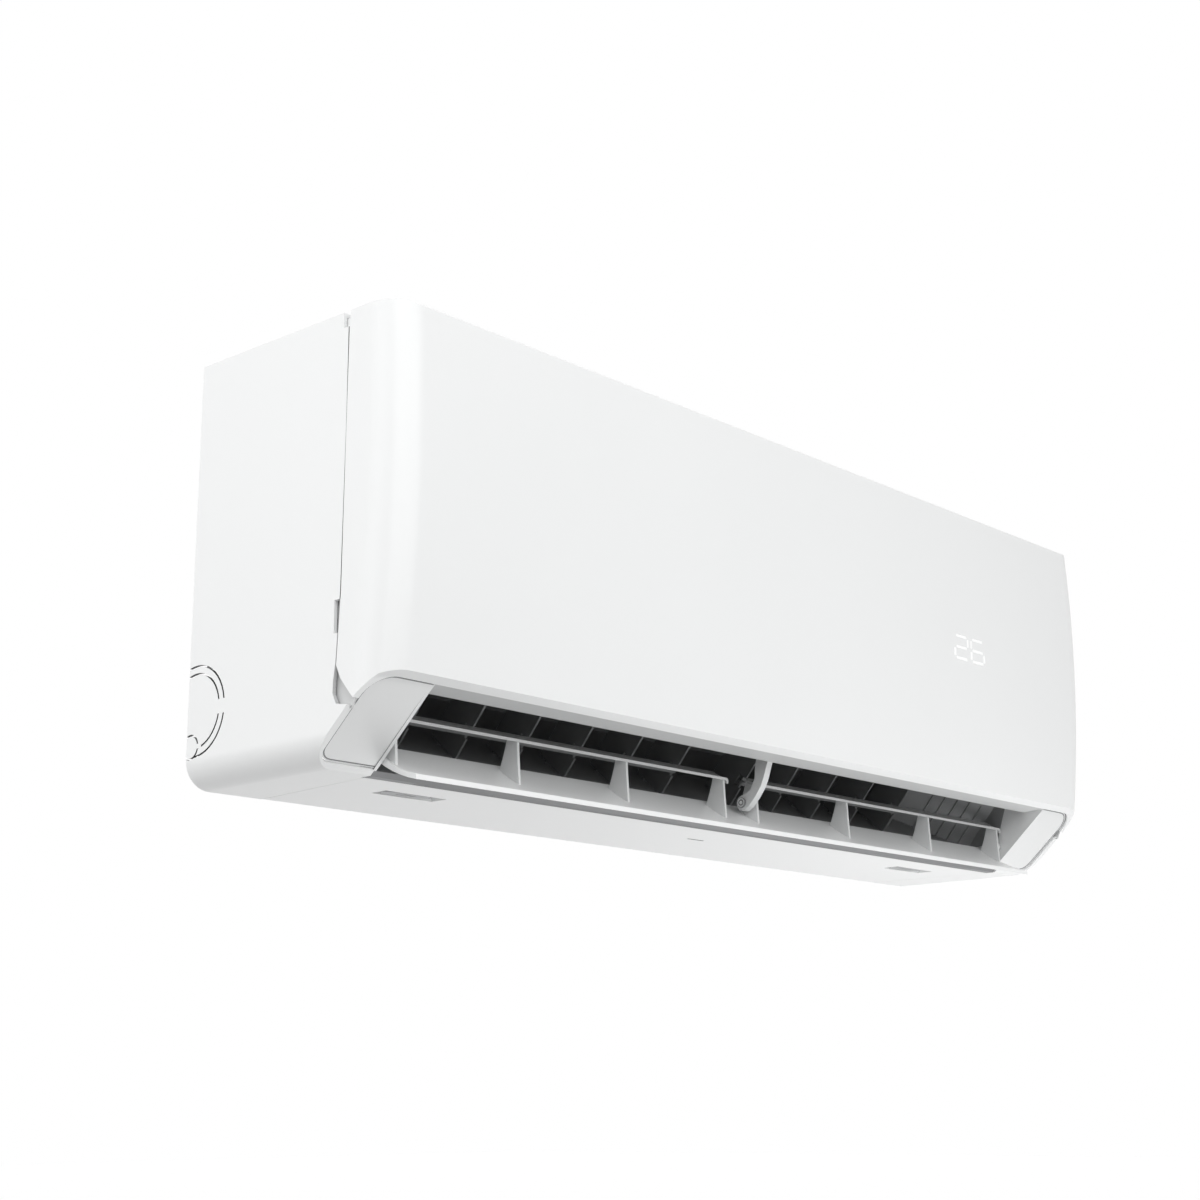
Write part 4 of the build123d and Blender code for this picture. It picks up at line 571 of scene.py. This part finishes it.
# Glossy white ABS; the faint waviness is the flow of the plastic in the mould.
white_abs = moulded("gloss_white_abs", "#eff0f0", "#f2f3f3", 0.32, 4.0, 0.008)
# Walls of the knock-outs' slots and of the gap beside the panel, dark as painted shade, since
# little light gets in.
gap_shade = moulded("gap_shade_abs", "#3e3f40", "#454647", 0.5, 0.9, 0.03)
# White ABS darkened as painted shade: seam faces below the finger notch, and the flanges inside the
# ends.
flange_shade = moulded("shaded_white_abs", "#c8c9c9", "#cdcece", 0.4, 0.9, 0.03)

casing = finer("outer_casing", white_abs, 0.4)
casing.data.materials.append(gap_shade)
casing.data.materials.append(flange_shade)
gap_index, flange_index = 1, 2
knockout_y, knockout_z, knockout_reach = -0.008, -0.103, 0.031
slot_wall, seam_wall = 0.3921, 0.392
seam_front, seam_back = -0.1445, -0.1375
notch_bottom, notch_top = -0.0780, -0.0540
# Slot walls and seam faces above the finger notch take the dark painted shade; seam faces below it
# the paler one.
for face in casing.data.polygons:
    out = abs(face.center.x)
    from_knockout = math.hypot(face.center.y - knockout_y, face.center.z - knockout_z)
    if out > slot_wall and abs(face.normal.x) < 0.5 and from_knockout < knockout_reach:
        face.material_index = gap_index
    on_seam = seam_front < face.center.y < seam_back and face.normal.y < -0.8
    if on_seam and out > seam_wall and not notch_bottom < face.center.z < notch_top:
        face.material_index = gap_index if face.center.z > notch_bottom else flange_index
finer("top_grille", white_abs, 0.3)

# Inner flange of each end closes the notch beside the panel's lower corner and the finger notch.
flange_outline = (
    (-0.1340, -0.0450),
    (-0.1530, -0.0450),
    (-0.1540, -0.0900),
    (-0.1580, -0.1080),
    (-0.1520, -0.1210),
    (-0.1400, -0.1200),
    (-0.1340, -0.1100),
)
plate_inside = 0.3907


def end_plates(name, outline, thickness, material, carrier):
    """Upright plate inside each end wall, cut to an outline of (y, z) and riding with a node."""
    for side, hand in ((-1, "left"), (1, "right")):
        bpy.ops.mesh.primitive_circle_add(vertices=len(outline), radius=0.01, fill_type="NGON")
        plate = bpy.context.object
        plate.name = name + "_" + hand
        for vertex, (y, z) in zip(plate.data.vertices, outline):
            vertex.co = (side * plate_inside, y, z)
        bpy.ops.object.mode_set(mode="EDIT")
        bpy.ops.mesh.select_all(action="SELECT")
        bpy.ops.mesh.extrude_region_move(
            TRANSFORM_OT_translate={"value": (side * thickness, 0, 0)}
        )
        bpy.ops.mesh.select_all(action="SELECT")
        bpy.ops.mesh.normals_make_consistent(inside=False)
        bpy.ops.object.mode_set(mode="OBJECT")
        plate.data.materials.append(material)
        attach(plate, nodes[carrier]["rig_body"])


end_plates("casing_flange", flange_outline, 0.0010, flange_shade, "outer_casing")

# ---------------------------------------------------------------- bottom cover and its latches
# Clip-in white ABS cover under the unit, with a small mark near its middle painted dark as shade. A
# sliding latch near each end locks it.
cover = finer("bottom_cover", white_abs, 0.3)
cover.data.materials.append(seam_shade)
mark_shade_index = 1
mark_left, mark_right = -0.0015, 0.0175
mark_y, mark_half_depth, mark_level = -0.070, 0.0012, -0.1490
mark_face_area = 0.00005
# Small faces of the mark take the dark painted shade.
for face in cover.data.polygons:
    in_mark = mark_left < face.center.x < mark_right and face.area < mark_face_area
    in_row = abs(face.center.y - mark_y) < mark_half_depth and face.center.z < mark_level
    if in_mark and in_row:
        face.material_index = mark_shade_index

# Satin grey ABS: darker than the cover, as painted shade on the latches.
latch_shaded_abs = moulded("satin_grey_abs", "#97989a", "#9d9ea0", 0.4, 0.9, 0.03)
for side in ("left", "right"):
    finer("latch_" + side, latch_shaded_abs, 0.2)

# ---------------------------------------------------------------- front panel and display
# Bowed white ABS cover that swings up on two hinge pins near its top. The bars of a small display
# shine white through its face.
finer("front_panel", white_abs, 0.5)
finer("display_housing", grey_styrene, 0.4)

# Small cheek inside each upper rear corner of the panel; it hides the notch that the hinge needs.
cheek_outline = (
    (-0.1470, 0.1090),
    (-0.1397, 0.1100),
    (-0.1397, 0.1187),
    (-0.1470, 0.1187),
)
end_plates("panel_cheek", cheek_outline, 0.0018, white_abs, "front_panel")
finer("manual_button", white_abs, 0.3)

# Lit light guide: a clean white glow, a little uneven where the plastic scatters it.
scatter_mm = 3.33
lit_bar, shader, here = new_finish("lit_light_guide", Roughness=0.3, Emission_Strength=0.12)
shader.inputs["Emission Color"].default_value = colour("#ffffff")
glow = add_node(lit_bar, "ShaderNodeTexNoise", {"Scale": per_metre(scatter_mm)}, {"Vector": here})
lit_tone = blend_colours(lit_bar, glow.outputs["Fac"], "#fbfcfc", "#ffffff")
wire(lit_bar, lit_tone, shader, "Base Color")
finer("display_digits", lit_bar, 0.0)

# ---------------------------------------------------------------- room, light and camera
# Pale seamless floor, two large soft boxes and a low card. The camera stands below the unit's
# lower left corner and looks up at it.
floor_height = -0.75
bpy.ops.mesh.primitive_plane_add(size=30.0, location=(0, 0, floor_height))
floor = bpy.context.object
floor.name = "studio_floor"


def background_seen(holder):
    """1 where the camera, a glossy ray or a clear ray looks at the background, else 0."""
    rays = add_node(holder, "ShaderNodeLightPath")
    glossy = add_node(
        holder,
        "ShaderNodeMath",
        {"operation": "MAXIMUM"},
        {0: rays.outputs["Is Camera Ray"], 1: rays.outputs["Is Glossy Ray"]},
    )
    both = add_node(
        holder,
        "ShaderNodeMath",
        {"operation": "MAXIMUM"},
        {0: glossy.outputs[0], 1: rays.outputs["Is Transmission Ray"]},
    )
    return both.outputs[0]


world = bpy.data.worlds.new("pale_studio")
bpy.context.scene.world = world
world.use_nodes = True
sky = world.node_tree.nodes["Background"]
sky.inputs["Color"].default_value = (1, 1, 1, 1)
room_level = 0.47
level = add_node(
    world,
    "ShaderNodeMapRange",
    {"To Min": room_level, "To Max": 1.0},
    {"Value": background_seen(world)},
)
world.node_tree.links.new(level.outputs["Result"], sky.inputs["Strength"])

# Seamless paper: pale grey to the object, and lifted towards white where the camera, a glossy ray
# or a clear ray sees it, so that the object's shadow still shows.
fibre_mm = 16.7
paper_lift = 0.7
paper, shader, here = new_finish("seamless_paper", Roughness=0.9)
fibres = add_node(paper, "ShaderNodeTexNoise", {"Scale": per_metre(fibre_mm)}, {"Vector": here})
paper_tone = blend_colours(paper, fibres.outputs["Fac"], "#b9b9b9", "#bcbcbc")
wire(paper, paper_tone, shader, "Base Color")
shader.inputs["Emission Color"].default_value = colour("#ffffff")
lift = add_node(
    paper,
    "ShaderNodeMapRange",
    {"To Min": 0.0, "To Max": paper_lift},
    {"Value": background_seen(paper)},
)
wire(paper, lift.outputs["Result"], shader, "Emission Strength")
floor.data.materials.append(paper)


def soft_box(name, place, target, width, height, power):
    """Area lamp that looks at a point of the object."""
    lamp = bpy.data.lights.new(name, "AREA")
    lamp.shape = "RECTANGLE"
    lamp.size = width
    lamp.size_y = height
    lamp.energy = power
    holder = bpy.data.objects.new(name, lamp)
    bpy.context.scene.collection.objects.link(holder)
    aim = Vector(target) - Vector(place)
    holder.rotation_euler = aim.to_track_quat("-Z", "Y").to_euler()
    holder.location = place


soft_box("key_left", (-2.1, 0.6, 0.7), (-0.39, -0.07, 0), 2.6, 2.6, 25.0)
soft_box("fill_front", (-0.75, -1.6, 0.78), (-0.45, -0.18, 0), 2.4, 1.6, 22.8)
soft_box("low_card", (0.25, -0.3, -0.7), (-0.1, -0.1, -0.15), 0.9, 0.7, 4.0)

camera_place = Vector((-1.09561, -0.98702, -0.34320))
camera_yaw = 0.8295
camera_pitch = 0.2566
camera_roll = -0.0079
forward = Vector(
    (
        math.sin(camera_yaw) * math.cos(camera_pitch),
        math.cos(camera_yaw) * math.cos(camera_pitch),
        math.sin(camera_pitch),
    )
)
level_right = Vector((math.cos(camera_yaw), -math.sin(camera_yaw), 0))
level_up = level_right.cross(forward)
right = level_right * math.cos(camera_roll) + level_up * math.sin(camera_roll)
up = level_up * math.cos(camera_roll) - level_right * math.sin(camera_roll)
lens = bpy.data.cameras.new("product_camera")
lens.lens = 58.57
lens.sensor_width = 36.0
camera = bpy.data.objects.new("product_camera", lens)
bpy.context.scene.collection.objects.link(camera)
turn = Matrix((right, up, -forward)).transposed()
camera.matrix_world = Matrix.Translation(camera_place) @ turn.to_4x4()
bpy.context.scene.camera = camera
bpy.context.scene.view_settings.view_transform = "Standard"
